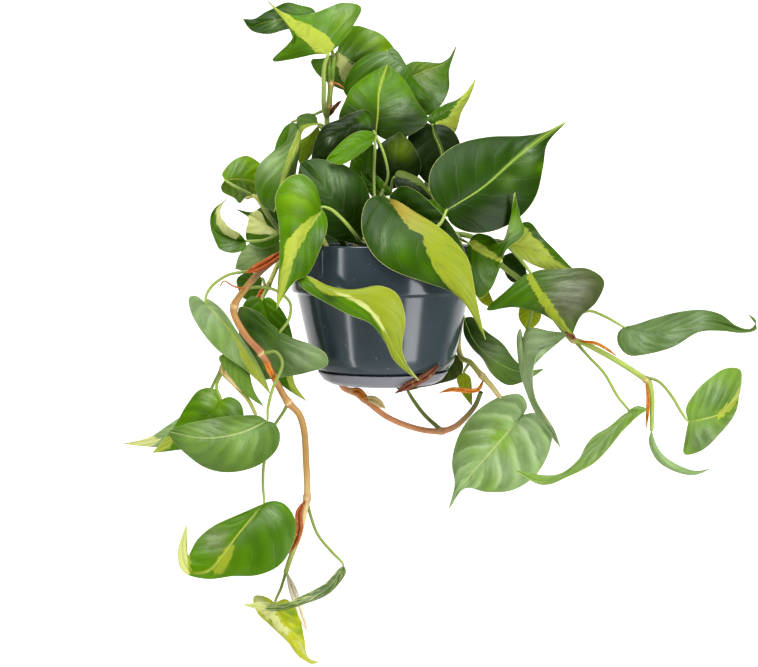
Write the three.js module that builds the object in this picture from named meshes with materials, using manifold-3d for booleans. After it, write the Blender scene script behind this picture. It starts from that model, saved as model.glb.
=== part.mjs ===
// Potted brasil philodendron in a hanging nursery pot.
// Millimetres, +Z up. The origin is the centre of the pot's rim, and the plant is seen from -Y.

import * as THREE from 'three';
import { mergeVertices } from 'three/addons/utils/BufferGeometryUtils.js';
import Module from 'manifold-3d';

const wasm = await Module();
wasm.setup();

// Pot, saucer and soil
const rimRadius = 76.5;
const rimBandHeight = 38;
const wall = 1.8;
const potBaseRadius = 51.5;
const potBase = -103.4;
const soilTop = -11;
const saucerBottom = -114;
const drainHoleRadius = 3.5;
const drainCircle = 30;
const lug = { width: 5, height: 22, proud: 1.4, angles: [-40, 80, 200] };

// Plant
const bladeThickness = 0.9;
const stalkRadius = 1.25;
const stalkSides = 5;
const vineSides = 6;
const clearance = 0.35;
const finestEdge = 0.05;
const rootDepth = 17;
const bladeRows = { spacing: 17, fewest: 5, most: 7 };
const stalkStep = { length: 20, fewest: 2, most: 6 };
const smallBlade = 45;
const turnedSides = 28;
const rowCrowding = 1.25;

// Where the eye stands: places on the plant are given as a pixel of a 758 by 667 view
// and a depth in millimetres behind the plane of the pot's axis
const view = { width: 758, height: 667, distance: 1200, millimetresPerPixel: 0.83, elevation: 4.5 };
const aim = new THREE.Vector3(-3.3, 0, -73.5);
const tilt = THREE.MathUtils.degToRad(view.elevation);
const ahead = new THREE.Vector3(0, Math.cos(tilt), -Math.sin(tilt));
const upward = new THREE.Vector3(0, Math.sin(tilt), Math.cos(tilt));
const eye = aim.clone().addScaledVector(ahead, -view.distance);

function at(px, py, depth = 0) {
  const focal = view.distance / view.millimetresPerPixel;
  const ray = ahead.clone().multiplyScalar(focal).addScaledVector(upward, view.height / 2 - py);
  ray.x += px - view.width / 2;
  return eye.clone().addScaledVector(ray, (depth - eye.y) / ray.y);
}

// Depths left out of a list of pixels are shared out between the ones that are given
function placed(points) {
  const known = points.map((p, i) => (p.length > 2 ? i : -1)).filter((i) => i >= 0);
  return points.map((p, i) => {
    if (p.length > 2) return at(...p);
    const before = Math.max(...known.filter((k) => k < i));
    const after = Math.min(...known.filter((k) => k > i));
    const share = (i - before) / (after - before);
    return at(p[0], p[1], THREE.MathUtils.lerp(points[before][2], points[after][2], share));
  });
}

function spline(points) {
  return new THREE.CatmullRomCurve3(points, false, 'centripetal');
}

// Solids

function solid(geometry) {
  const bare = geometry.clone();
  for (const name of Object.keys(bare.attributes)) if (name !== 'position') bare.deleteAttribute(name);
  const welded = mergeVertices(bare, 1e-4);
  const corners = welded.index.array;
  const kept = [];
  for (let i = 0; i < corners.length; i += 3) {
    const [a, b, c] = corners.slice(i, i + 3);
    if (a !== b && b !== c && c !== a) kept.push(a, b, c);
  }
  const mesh = new wasm.Mesh({
    numProp: 3,
    vertProperties: new Float32Array(welded.attributes.position.array),
    triVerts: new Uint32Array(kept),
  });
  return new wasm.Manifold(mesh);
}

function geometryOf(body) {
  const mesh = body.simplify(finestEdge).getMesh();
  const geometry = new THREE.BufferGeometry();
  geometry.setAttribute('position', new THREE.BufferAttribute(mesh.vertProperties, 3));
  geometry.setIndex(new THREE.BufferAttribute(mesh.triVerts, 1));
  geometry.computeVertexNormals();
  return geometry;
}

function tube(points, radius, sides, steps) {
  const section = new THREE.Shape();
  for (let i = 0; i < sides; i += 1) {
    const angle = (2 * Math.PI * i) / sides;
    const corner = [radius * Math.cos(angle), radius * Math.sin(angle)];
    if (i === 0) section.moveTo(...corner);
    else section.lineTo(...corner);
  }
  section.closePath();
  const path = { steps, bevelEnabled: false, extrudePath: spline(points) };
  return solid(new THREE.ExtrudeGeometry(section, path));
}

function largest(body) {
  return body.decompose().sort((one, other) => other.volume() - one.volume())[0];
}

function turned(profile, segments) {
  const points = profile.map(([radius, height]) => new THREE.Vector2(radius, height));
  return solid(new THREE.LatheGeometry(points, segments).rotateX(Math.PI / 2));
}

function cylinder(radius, height, sides, x, y, z) {
  const shape = new THREE.CylinderGeometry(radius, radius, height, sides);
  return solid(shape.rotateX(Math.PI / 2).translate(x, y, z));
}

// A leaf blade is ruled from its midrib out to its two edges and arched a little between them

function blade(rib, leftEdge, rightEdge, { arch = 0.08, face = 1 }) {
  const ribCurve = spline(rib);
  const wanted = Math.round(ribCurve.getLength() / bladeRows.spacing);
  const lastRow = THREE.MathUtils.clamp(wanted, bladeRows.fewest, bladeRows.most);
  const edges = [leftEdge, rightEdge].map((edge) => spline([rib[0], ...edge, rib[rib.length - 1]]));
  const columns = ribCurve.getLength() > smallBlade ? [-1, -0.5, 0, 0.5, 1] : [-1, 0, 1];
  const rows = [];
  for (let row = 0; row <= lastRow; row += 1) {
    const along = row / lastRow;
    const middle = ribCurve.getPointAt(along ** rowCrowding);
    const sides = edges.map((edge) => edge.getPointAt(along).sub(middle));
    const upper = sides[1].clone().sub(sides[0]).cross(ribCurve.getTangentAt(along ** rowCrowding));
    rows.push({ middle, sides, upper: upper.normalize() });
  }
  const facing = rows[Math.round(lastRow / 2)].upper.dot(ahead) > 0 ? -face : face;
  const points = rows.map(({ middle, sides, upper }) => columns.map((column) => {
    const side = sides[column < 0 ? 0 : 1];
    const share = Math.abs(column);
    const rise = facing * arch * side.length() * 4 * share * (1 - share);
    return middle.clone().addScaledVector(side, share).addScaledVector(upper, rise);
  }));
  return thickened(points, bladeThickness);
}

// A grid of points whose first and last rows are single points, made into a closed sheet
function thickened(points, thickness) {
  const last = points.length - 1;
  const width = points[0].length;
  const number = (row, column) => {
    if (row === 0) return 0;
    return row === last ? 1 : 2 + (row - 1) * width + column;
  };
  const count = 2 + (last - 1) * width;
  const centres = new Array(count);
  points.forEach((line, row) => line.forEach((point, column) => { centres[number(row, column)] = point; }));
  const triangles = [];
  for (let row = 0; row < last; row += 1) {
    for (let column = 0; column < width - 1; column += 1) {
      const [a, b] = [number(row, column), number(row, column + 1)];
      const [c, d] = [number(row + 1, column + 1), number(row + 1, column)];
      if (a !== b) triangles.push([a, b, c]);
      if (c !== d) triangles.push([a, c, d]);
    }
  }
  const normals = centres.map(() => new THREE.Vector3());
  for (const [a, b, c] of triangles) {
    const face = centres[b].clone().sub(centres[a]).cross(centres[c].clone().sub(centres[a]));
    for (const corner of [a, b, c]) normals[corner].add(face);
  }
  const positions = [];
  for (const side of [1, -1]) {
    centres.forEach((point, i) => {
      const offset = normals[i].clone().normalize().multiplyScalar((side * thickness) / 2);
      positions.push(...point.clone().add(offset).toArray());
    });
  }
  const index = [];
  for (const [a, b, c] of triangles) index.push(a, b, c, count + a, count + c, count + b);
  for (let row = 0; row < last; row += 1) {
    for (const [column, turn] of [[0, false], [width - 1, true]]) {
      const [a, b] = [number(row, column), number(row + 1, column)];
      const strip = [a, b, count + b, a, count + b, count + a];
      index.push(...(turn ? strip.reverse() : strip));
    }
  }
  const geometry = new THREE.BufferGeometry();
  geometry.setAttribute('position', new THREE.Float32BufferAttribute(positions, 3));
  geometry.setIndex(index);
  return solid(geometry);
}

// Colours from the photograph

const paint = {
  pot: new THREE.MeshStandardMaterial({ color: 0x3a444c, roughness: 0.22, metalness: 0 }),
  saucer: new THREE.MeshStandardMaterial({ color: 0x8a8a96, roughness: 0.35, metalness: 0 }),
  soil: new THREE.MeshStandardMaterial({ color: 0x3a2a1c, roughness: 0.95, metalness: 0 }),
  sheath: new THREE.MeshStandardMaterial({ color: 0x7a3018, roughness: 0.7, metalness: 0 }),
  vine: new THREE.MeshStandardMaterial({ color: 0xb08a4a, roughness: 0.6, metalness: 0 }),
  greenVine: new THREE.MeshStandardMaterial({ color: 0x7a8a3a, roughness: 0.6, metalness: 0 }),
  dark: new THREE.MeshStandardMaterial({ color: 0x2c4a24, roughness: 0.4, metalness: 0 }),
  green: new THREE.MeshStandardMaterial({ color: 0x4a8220, roughness: 0.4, metalness: 0 }),
  lime: new THREE.MeshStandardMaterial({ color: 0xa8c020, roughness: 0.4, metalness: 0 }),
  pale: new THREE.MeshStandardMaterial({ color: 0x6f9a58, roughness: 0.4, metalness: 0 }),
};

const plant = new THREE.Group();
plant.name = 'potted_philodendron';

function add(name, body, material) {
  const mesh = new THREE.Mesh(geometryOf(body), material);
  mesh.name = name;
  plant.add(mesh);
}

// Pot: a tapered wall with a tall rim band, three hanger lugs and drain holes

function makePot() {
  const band = -rimBandHeight;
  const outside = [
    [0, potBase], [potBaseRadius, potBase], [55.5, -101.5], [58.6, -97], [60.3, -91],
    [71.4, band - 1.4], [75.2, band - 0.4], [75.6, band + 2],
    [rimRadius, -1.2], [rimRadius - 0.6, 0], [rimRadius - 2, 0], [rimRadius - 2.6, -1.4],
  ];
  const inside = [
    [75.6 - wall, band + 2], [71.4 - wall, band - 3], [60.3 - wall, -91],
    [53.8, -98.6], [50.5, potBase + wall], [0, potBase + wall],
  ];
  let pot = turned([...outside, ...inside], turnedSides);
  for (const angle of lug.angles) {
    const ear = new THREE.BoxGeometry(lug.width, 2 * lug.proud, lug.height);
    ear.translate(0, -rimRadius + 0.6, -lug.height / 2 - 3);
    ear.rotateZ(THREE.MathUtils.degToRad(angle));
    pot = pot.add(solid(ear));
  }
  for (let i = 0; i < 4; i += 1) {
    const angle = (Math.PI / 2) * i + Math.PI / 4;
    const [x, y] = [drainCircle * Math.cos(angle), drainCircle * Math.sin(angle)];
    pot = pot.subtract(cylinder(drainHoleRadius, 3 * wall, 10, x, y, potBase + wall / 2));
  }
  add('pot', pot, paint.pot);
}

function makeSaucer() {
  const under = potBase - clearance;
  const profile = [
    [0, saucerBottom], [44, saucerBottom], [49.5, saucerBottom + 3], [54, under - 1.2],
    [54, under - 0.2], [52.2, under - 0.2], [52, under - 1], [47.8, saucerBottom + 4.2],
    [43.4, saucerBottom + wall], [23, saucerBottom + wall], [22.4, under],
    [19.6, under], [19, saucerBottom + wall], [0, saucerBottom + wall],
  ];
  add('saucer', turned(profile, turnedSides), paint.saucer);
}

// Soil fills the pot, with a plain hole for each vine

function makeSoil(vines) {
  const gap = wall + clearance;
  const profile = [
    [0, potBase + gap], [50, potBase + gap], [53.2, -98.2], [60.3 - gap, -91],
    [71.4 - gap, -rimBandHeight - 3.4], [75.6 - gap - 0.2, -rimBandHeight + 2],
    [rimRadius - 2.6 - clearance - 0.3, soilTop - 3], [40, soilTop - 0.8], [0, soilTop],
  ];
  let soil = turned(profile, turnedSides);
  for (const vine of vines) {
    const [x, y] = vine.root;
    const bottom = soilTop - rootDepth - clearance;
    soil = soil.subtract(cylinder(vine.radius + clearance + 0.2, 60, 8, x, y, bottom + 30));
  }
  add('soil', soil, paint.soil);
}

// Vines: each rises from the soil at root, in millimetres, and follows its route in the view

const vines = [
  {
    name: 'crown_vine', root: [-32, 14], radius: 2.2, steps: 16, paint: paint.greenVine,
    route: [
      [346, 215, 16], [334, 165, 16], [327, 121, 12], [329, 106, 10], [331, 84, 8], [333, 66, 7],
      [334, 56, 7],
    ],
  },
  {
    name: 'middle_vine', root: [12, 0], radius: 2.2, steps: 13, paint: paint.greenVine,
    route: [[398, 225, 4], [402, 185, 8], [404, 150, 14], [405, 118, 18], [407, 100, 18]],
  },
  {
    name: 'front_vine', root: [-12, -36], radius: 2.2, steps: 10, paint: paint.greenVine,
    route: [[368, 235, -38], [375, 214, -36], [384, 188, -30]],
  },
  {
    name: 'back_vine', root: [20, 30], radius: 2.2, steps: 13, paint: paint.greenVine,
    route: [[412, 220, 36], [428, 180, 34], [437, 150, 30], [436, 126, 26]],
  },
  {
    name: 'right_vine', root: [42, -8], radius: 2.3, steps: 32, paint: paint.greenVine,
    route: [
      [438, 236, -10], [455, 234, -13], [472, 237, -16], [486, 246, -18], [501, 265, -18],
      [519, 279, -16], [546, 308, -16], [573, 340, -22], [581, 342, -24], [612, 358, -32],
      [639, 375, -38], [648.6, 382.5, -40], [651.6, 395, -42], [652, 413, -44], [651.6, 431, -46],
    ],
  },
  {
    name: 'left_vine', root: [-30, -24], radius: 2.7, steps: 38, paint: paint.vine,
    route: [
      [338, 236, -34], [322, 232, -44], [304, 236, -54], [284, 252, -60], [262, 270, -62], [246, 288, -62],
      [235, 304, -62], [234, 313, -62], [246, 336, -62], [262, 354, -62], [278, 385, -60], [288, 402, -58],
      [299, 414, -54], [304, 430, -50], [306, 459, -44], [307, 498, -40], [304, 512, -40], [299, 535, -40],
      [290, 559, -40], [285, 575, -40],
    ],
  },
  {
    name: 'back_left_vine', root: [-46, 12], radius: 2, steps: 24, paint: paint.greenVine,
    route: [
      [318, 234, 16], [297, 234, 18], [282, 256, 14], [268, 286, 2], [254, 312, -10], [240, 338, -22],
      [227, 358, -28], [222, 370, -30], [234, 384, -33], [247.5, 399, -35], [256.6, 416, -36],
    ],
  },
  {
    name: 'upper_left_vine', root: [-52, -6], radius: 1.9, steps: 16, paint: paint.greenVine,
    route: [[318, 232, -8], [300, 230, -10], [284, 234, -10], [270, 218, -8], [254, 196, -8], [245, 199, -8]],
  },
  {
    name: 'under_pot_vine', root: [4, 58], radius: 2.6, steps: 30, paint: paint.vine,
    route: [
      [385, 235, 66], [372, 236, 80], [352, 262, 88], [338, 320, 86], [336, 365, 80], [343, 387, 72],
      [354, 392, 64], [364, 399, 56], [386, 416, 44], [403, 424, 38], [424, 430, 32], [441, 431, 26],
      [454, 427, 20], [465, 418, 15], [475, 406, 10], [481, 392, 4],
    ],
  },
  {
    name: 'right_back_vine', root: [48, 34], radius: 2.4, steps: 25, paint: paint.vine,
    route: [
      [440, 236, 46], [456, 237, 60], [464, 262, 66], [462, 310, 54], [458, 345, 34], [462, 358, 24],
      [470, 362, 14], [480, 373.5, 4], [491.5, 386, 0], [499, 396, -2], [507, 405, -4], [516, 409, -4],
    ],
  },
  {
    name: 'back_trailing_vine', root: [-24, 42], radius: 2.1, steps: 17, paint: paint.vine,
    route: [
      [358, 225, 56], [352, 205, 66], [350, 195, 78], [348, 212, 92], [344, 245, 98], [340, 290, 98],
      [345, 330, 92],
    ],
  },
  {
    name: 'back_right_leafy_vine', root: [26, 52], radius: 2.1, steps: 17, paint: paint.vine,
    route: [
      [414, 225, 64], [420, 200, 76], [424, 192, 88], [428, 212, 98], [430, 250, 100], [428, 300, 96],
    ],
  },
];

function vineCentres(vine) {
  const [x, y] = vine.root;
  const heights = [-rootDepth, -rootDepth / 2, 1, 6];
  const upright = heights.map((height) => new THREE.Vector3(x, y, soilTop + height));
  return [...upright, ...placed(vine.route)];
}

function nearest(curve, px, py) {
  const ray = new THREE.Ray(eye, at(px, py).sub(eye).normalize());
  let best = { distance: Infinity };
  for (let share = 0; share <= 1; share += 0.004) {
    const point = curve.getPointAt(share);
    const distance = ray.distanceToPoint(point);
    if (distance < best.distance - 0.01) best = { distance, point, share };
  }
  return best;
}

// Leaves: rib runs from the stalk's end to the tip; left and right are the edges between those two,
// each with its own lift, the extra depth beyond the rib; stalk starts on the vine; lean is the
// depth that the blade gains per pixel to the right and per pixel down

function makeLeaf(leaf, vine) {
  const [baseX, baseY] = leaf.rib[0];
  const [leanAcross, leanDown] = leaf.lean ?? [0, 0];
  const lean = (px, py) => leanAcross * (px - baseX) + leanDown * (py - baseY);
  const flatRib = spline(placed(leaf.rib));
  const ribPixels = leaf.rib.map(([px, py]) => [px, py]);
  const rib = placed(leaf.rib).map((point, i) => at(...ribPixels[i], point.y + lean(...ribPixels[i])));
  const edge = (points) => points.map(([px, py, lift = 0], i) => {
    const share = ((i + 1) / (points.length + 1)) ** rowCrowding;
    return at(px, py, flatRib.getPointAt(share).y + lift + lean(px, py));
  });
  const sheet = blade(rib, edge(leaf.left), edge(leaf.right), leaf);
  const stalk = leaf.stalk ?? [];
  const root = nearest(spline(vine.centres), ...(stalk[0] ?? leaf.rib[0])).point;
  const start = new THREE.Vector2(root.y, rib[0].y);
  const between = stalk.slice(1).map(([px, py, depth], i) => {
    const share = (i + 1) / stalk.length;
    return at(px, py, depth ?? THREE.MathUtils.lerp(start.x, start.y, share));
  });
  const inBlade = rib[0].clone().lerp(rib[1], Math.min(0.5, 2.5 / rib[0].distanceTo(rib[1])));
  const centres = [root, ...between, rib[0], inBlade];
  const wanted = Math.round(spline(centres).getLength() / stalkStep.length);
  const steps = THREE.MathUtils.clamp(wanted, stalkStep.fewest, stalkStep.most);
  return sheet.add(tube(centres, leaf.stalkRadius ?? stalkRadius, stalkSides, steps));
}

const leaves = [
  // Crown, top
  {
    name: 'top_leaf', vine: 'crown_vine', paint: paint.lime, stalkRadius: 1.9, lean: [0, -0.3],
    stalk: [[328, 118], [324, 108, 4], [323.7, 90, 2], [324.4, 66, 0]],
    rib: [[328, 54, -2], [300, 31, -14], [280, 14, -20], [267, 0, -22]],
    left: [
      [316, 54, 2], [292, 59, 8], [272, 61, 12], [284, 49, 12], [294, 45, 6], [289, 28, 3],
      [277, 12, 1],
    ],
    right: [
      [343, 41, 3], [353, 26, 8], [361, 7, 14], [343, 3, 14], [320, 11, 12], [303, 17, 8],
      [284, 14, 3],
    ],
  },
  {
    name: 'top_back_leaf', vine: 'crown_vine', paint: paint.dark, lean: [-0.2, -0.2],
    stalk: [[334, 57], [328, 38, 14]],
    rib: [[318, 18, 14], [290, 18, 10], [262, 23, 6], [249, 27, 4], [243, 19, 4]],
    left: [[308, 29, -4], [291, 29, -6], [281, 31, -6], [266, 34, -4], [252, 31, -1]],
    right: [[313, 9, 2], [299, 5, 3], [286, 3, 3], [268, 11, 2], [254, 19, 0]],
  },
  {
    name: 'quilted_leaf', vine: 'crown_vine', paint: paint.green, lean: [0.2, 0],
    stalk: [[333, 68], [337, 60, 13]],
    rib: [[337, 52, 17], [352, 62, 24], [375, 73, 30], [398, 82, 32]],
    left: [[324, 58, 4], [311, 60, 8], [316, 72, 8], [330, 84, 4], [350, 92, 0], [380, 94, 0]],
    right: [[342, 36, 2], [354, 26, 4], [369, 29, 4], [382, 35, 3], [394, 48, 2], [402, 64, 0]],
  },
  {
    name: 'dark_shoulder_leaf', vine: 'middle_vine', paint: paint.dark,
    stalk: [[407, 101], [398, 78, 22]],
    rib: [[387, 51, 18], [402, 67, 13], [416, 82, 13], [430, 98, 17]],
    left: [[374, 53, 2], [362, 58, 3], [350, 71, 4], [344, 92, 6], [366, 106, 4], [402, 108, 2]],
    right: [[392, 48, 3], [398, 52, 4], [405, 63, 4], [413, 77, 2]],
  },
  {
    name: 'centre_leaf', vine: 'middle_vine', paint: paint.green, lean: [0, -0.25],
    stalk: [[402, 192], [388, 170, 0]],
    rib: [[376, 134, -12], [378, 112, -18], [379, 92, -20], [387, 65, -14]],
    left: [[366, 138, 4], [350, 134, 6], [339, 119, 8], [345, 101, 6], [352, 88, 4], [366, 76, 2]],
    right: [[388, 140, 2], [408, 136, 5], [428, 120, 8], [417, 102, 6], [406, 82, 4], [394, 70, 2]],
  },
  {
    name: 'upper_right_leaf', vine: 'middle_vine', paint: paint.dark, lean: [0.15, 0],
    stalk: [[406, 110], [400, 96, 30]],
    rib: [[402, 82, 27], [424, 71, 23], [446, 62, 21], [457, 45, 22]],
    left: [[402, 70, 2], [412, 62, 3], [425, 62, 3], [440, 63, 2], [449, 58, 0]],
    right: [[404, 98, -1], [414, 112, -3], [429, 115, -3], [442, 104, -3], [449, 88, -2], [449, 70, 0]],
  },
  {
    name: 'lime_spear_leaf', vine: 'back_vine', paint: paint.lime, lean: [0.3, 0],
    stalk: [[436, 132]],
    rib: [[432, 125, 16], [446, 113, 12], [460, 100, 12], [476, 79, 16]],
    left: [[427, 119, 4], [431, 114, 8], [444, 105, 10], [458, 99, 6], [469, 89, 2]],
    right: [[438, 134, 0], [447, 138, 4], [455, 132, 6], [461, 113, 4], [469, 98, 2]],
  },
  {
    name: 'shadow_leaf', vine: 'back_vine', paint: paint.dark, lean: [0.15, 0],
    stalk: [[437, 145], [434, 130, 14]],
    rib: [[432, 125, 5], [435, 136, 0], [441, 150, -4], [444, 192, -10]],
    left: [[418, 121, 1], [409, 134, 2], [406.5, 149, 3], [411, 163, 2], [429, 185, 0]],
    right: [[443, 125, 1], [453, 131, 2], [460, 143, 3], [462, 168, 2]],
  },
  {
    name: 'big_right_leaf', vine: 'front_vine', paint: paint.dark, stalkRadius: 1.5, lean: [0.15, -0.2],
    stalk: [[378, 207], [396, 224, -60], [424, 233, -76], [440, 224, -74]],
    rib: [[447, 210, -66], [482, 188, -68], [515.5, 158.5, -64], [544, 136, -58], [567.5, 121, -52]],
    left: [
      [437, 203, 2], [430, 191, 4], [430, 173, 5], [439, 158, 6], [459, 144, 7], [487, 137, 6],
      [523, 136, 4], [545, 132, 1],
    ],
    right: [
      [449, 221, 2], [459, 229, 4], [475, 233, 5], [497, 230, 6], [521, 216, 6], [536, 196, 5],
      [543, 166, 4], [547, 144, 2],
    ],
  },
  {
    name: 'hidden_point_leaf', vine: 'middle_vine', paint: paint.dark,
    stalk: [[400, 206], [401, 194, -4]],
    rib: [[399, 187, -13], [397, 160, -17], [400, 132, -15]],
    left: [[385, 189], [375, 170, 2], [379, 146, 1]],
    right: [[412, 184], [421, 166, 2], [413, 146, 1]],
  },
  {
    name: 'lime_edged_leaf', vine: 'middle_vine', paint: paint.green,
    stalk: [[399, 220], [391, 200, -12]],
    rib: [[394, 177, -24], [408, 181, -27], [420, 188, -29], [434, 200, -30]],
    left: [[398, 171, 6], [408, 173, 8], [420, 179, 6]],
    right: [[396, 186, -1], [406, 192, -1], [420, 199, -1]],
  },
  {
    name: 'under_fold_leaf', vine: 'front_vine', paint: paint.dark,
    stalk: [[379, 205], [386, 208, -38]],
    rib: [[396, 202, -42], [420, 220, -58], [446, 242, -72], [472, 268, -72]],
    left: [[390, 197, 2], [397, 188.5, 4], [405, 186, 5], [418, 192, 6], [434, 206, 6], [453, 228, 4]],
    right: [[398, 213], [414, 236, -2], [440, 258, -2]],
  },
  {
    name: 'olive_point_leaf', vine: 'front_vine', paint: paint.green,
    stalk: [[380, 200]],
    rib: [[385, 196, -26], [374, 186, -24], [361, 171, -20]],
    left: [[378, 202, 2], [368, 191, 2], [362, 180]],
    right: [[393, 194, -2], [384, 182, -2], [374, 174]],
  },
  {
    name: 'small_light_leaf', vine: 'front_vine', paint: paint.green, stalkRadius: 1.1, lean: [0.15, 0],
    stalk: [[384, 189], [388, 176, -35], [384, 154, -38]],
    rib: [[376, 137, -34], [362, 143, -40], [345, 152, -42], [326, 160, -38]],
    left: [[374, 133, 2], [363, 131, 4], [352, 134, 6], [340, 144, 6], [331, 153, 3]],
    right: [[370, 146, -2], [358, 155, -3], [344, 164, -3], [332, 163, -1]],
  },
  {
    name: 'crescent_leaf', vine: 'front_vine', paint: paint.dark, lean: [0.1, 0],
    stalk: [[376, 212], [374, 180, -28]],
    rib: [[374, 131, -24], [352, 128, -32], [330, 138, -32], [311, 160, -26]],
    left: [[374, 118, 3], [366, 110, 5], [352, 113, 6], [338, 120, 6], [324, 126, 5], [315, 142, 2]],
    right: [[366, 139], [350, 150, 2], [330, 162, 2]],
  },
  {
    name: 'dark_front_leaf', vine: 'front_vine', paint: paint.dark, lean: [0, -0.15],
    stalk: [[374, 219], [368, 229, -38]],
    rib: [[363, 239, -44], [346, 214, -54], [324, 188, -54], [300, 163, -48]],
    left: [[361, 245, 2], [350, 242, 3], [337, 239.5, 4], [322, 231, 5], [306, 206, 4], [298, 182, 2]],
    right: [[369, 226, 3], [371, 204, 5], [362, 179, 7], [348, 167, 6], [330, 161, 4], [312, 159, 2]],
  },
  {
    name: 'big_front_leaf', vine: 'front_vine', paint: paint.dark, stalkRadius: 1.4,
    stalk: [[381, 199]],
    rib: [[388, 199, -54], [404, 219, -76], [430, 256, -92], [460, 295, -92], [485.4, 339.6, -80]],
    left: [
      [378.6, 196, 2], [368, 200, 4], [362, 215, 6], [363, 235, 6], [375, 257, 6], [392, 270, 5],
      [425, 282, 4], [452, 292, 3], [472, 311, 1],
    ],
    right: [
      [395, 200, 2], [413, 211, 4], [433, 223, 6], [452, 239, 8], [468, 260, 8], [475, 292, 4],
      [480, 315, 1],
    ],
  },
  {
    name: 'left_front_leaf', vine: 'front_vine', paint: paint.green, stalkRadius: 1.5, lean: [0.15, 0],
    stalk: [[367, 243], [360, 242, -56], [354, 233, -64], [342, 219, -66], [330, 209, -68]],
    rib: [[321, 207, -68], [304, 239, -82], [293, 262, -86], [284, 285, -86], [276.5, 309, -82]],
    left: [
      [319, 196, 2], [313, 182, 3], [301, 174, 4], [286, 179, 5], [275, 197, 5], [279, 222, 4],
      [280, 248, 3], [278.5, 275, 1],
    ],
    right: [[326, 217, 1], [327, 229, 3], [319, 251, 6], [308, 274, 8], [295, 281, 6], [285, 294, 2]],
  },
  {
    name: 'pot_front_leaf', vine: 'left_vine', paint: paint.lime,
    stalk: [[302, 237], [294, 256, -74]],
    rib: [
      [297, 277, -78], [318, 286, -88], [342, 298, -94], [366, 306, -94], [384, 328, -92],
      [400, 355, -86], [419, 381, -76],
    ],
    left: [[302, 287, 1], [329, 304, 2], [350, 315, 3], [370, 323, 3], [384, 340, 2], [395, 361, 1]],
    right: [
      [307, 276, 2], [329, 286, 4], [353, 290, 5], [380, 286, 6], [397, 294, 6], [405, 318, 5],
      [402, 350, 3], [410, 370, 1],
    ],
  },
  // Upper left
  {
    name: 'sheen_leaf', vine: 'crown_vine', paint: paint.pale, lean: [0.2, -0.1],
    stalk: [[328, 132], [322, 125, 6]],
    rib: [[318, 124, 4], [304, 129, -4], [296, 146, -12], [289, 163, -16], [281, 184, -14], [274, 212, -8]],
    left: [
      [304, 127, 4], [292, 123, 6], [287, 140, 4], [271, 153, 6], [258, 167, 8], [255, 185, 6],
      [262, 205, 3],
    ],
    right: [
      [316, 116, 4], [307, 113, 8], [297, 118, 10], [301, 135, 6], [300, 150, 5], [297, 165, 5],
      [292, 188, 3],
    ],
  },
  {
    name: 'left_upright_leaf', vine: 'upper_left_vine', paint: paint.green, lean: [0.2, 0],
    stalk: [[253, 196], [246, 192, -10], [236, 187, -12]],
    rib: [[225, 180, -8], [240, 179, -4], [255, 182, 0], [268, 188, 4]],
    left: [[222, 175, 4], [226, 168, 6], [234, 160, 8], [247, 156, 8], [261, 165, 4]],
    right: [[221, 186, 2], [223, 192, 6], [234, 198, 8], [240, 203, 10], [246, 197, 8], [258, 194, 4]],
  },
  {
    name: 'curled_leaf', vine: 'upper_left_vine', paint: paint.green,
    stalk: [[281, 233], [264, 240, -14]],
    rib: [[246, 241, -16], [230, 238, -16], [215, 230, -12], [213, 215, -10], [227, 198, -12]],
    left: [[245, 249, -4], [234, 253, -6], [221, 250, -6], [216, 243, -4], [211, 228], [212, 212]],
    right: [[239, 233, -8], [230, 228, -10], [222, 219, -10], [221, 207, -5]],
  },
  {
    name: 'cream_band_leaf', vine: 'upper_left_vine', paint: paint.lime, lean: [-0.3, 0],
    stalk: [[286, 233]],
    rib: [[281, 233, 2], [268, 226, 0], [253, 217, -2], [236, 209, -2]],
    left: [[283, 220, 2], [277, 208, 4], [264, 206, 4], [252, 212, 1]],
    right: [[278, 243, -2], [262, 248, -3], [247, 240, -3], [246, 230, -2], [249, 219, -1]],
  },
  {
    name: 'grey_green_leaf', vine: 'upper_left_vine', paint: paint.pale, lean: [-0.2, 0],
    stalk: [[288, 232], [288, 240, 6]],
    rib: [[282, 243, 12], [266, 252, 10], [250, 262, 10], [235, 269, 12]],
    left: [[272, 238, 2], [258, 239, 3], [247, 245, 3], [239, 256, 1]],
    right: [[282, 253], [266, 264, 1], [249, 271, 1]],
  },
  // Trailing on the left
  {
    name: 'left_long_leaf', vine: 'left_vine', paint: paint.pale, lean: [0.25, -0.05],
    stalk: [[262, 270], [243, 272, -58], [228, 275, -60], [213, 285, -62], [206.5, 295, -62]],
    rib: [[205.7, 304, -62], [219.5, 318, -56], [234, 336, -54], [252, 363, -54], [271, 395, -54]],
    left: [
      [197, 296, 2], [189.5, 297, 4], [190, 309, 5], [200, 329, 6], [219, 351, 6], [243, 368, 4],
      [259, 382, 1],
    ],
    right: [[207, 299, 2], [213, 302, 4], [224, 312, 6], [236, 330, 6], [251, 352, 4], [263, 374, 2]],
  },
  {
    name: 'left_round_leaf', vine: 'left_vine', paint: paint.pale, lean: [-0.15, 0],
    stalk: [[246, 288], [262, 287, -62], [277, 291, -60], [290, 303, -58], [289, 319, -56]],
    rib: [[280, 332, -52], [273, 348, -52], [267, 364, -46], [262, 380, -38]],
    left: [[270, 323, 2], [256, 311, 4], [240, 307, 6], [238, 326, 6], [250, 360, 4]],
    right: [[292, 338, 1], [312, 345, 3], [326, 354, 4], [327, 365, 5], [308, 372, 4], [284, 377, 2]],
  },
  {
    name: 'left_dark_leaf', vine: 'back_left_vine', paint: paint.dark,
    stalk: [[270, 282]],
    rib: [[262, 300, -22], [273, 333, -28], [284, 370, -30], [307, 402, -30]],
    left: [[254, 296, 2], [244, 303, 4], [244, 322, 6], [256, 352, 4], [277, 381, 1]],
    right: [[269, 297, 1], [279, 306, 3], [288, 321, 4], [294, 348, 4], [294, 382, 2]],
  },
  {
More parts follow.
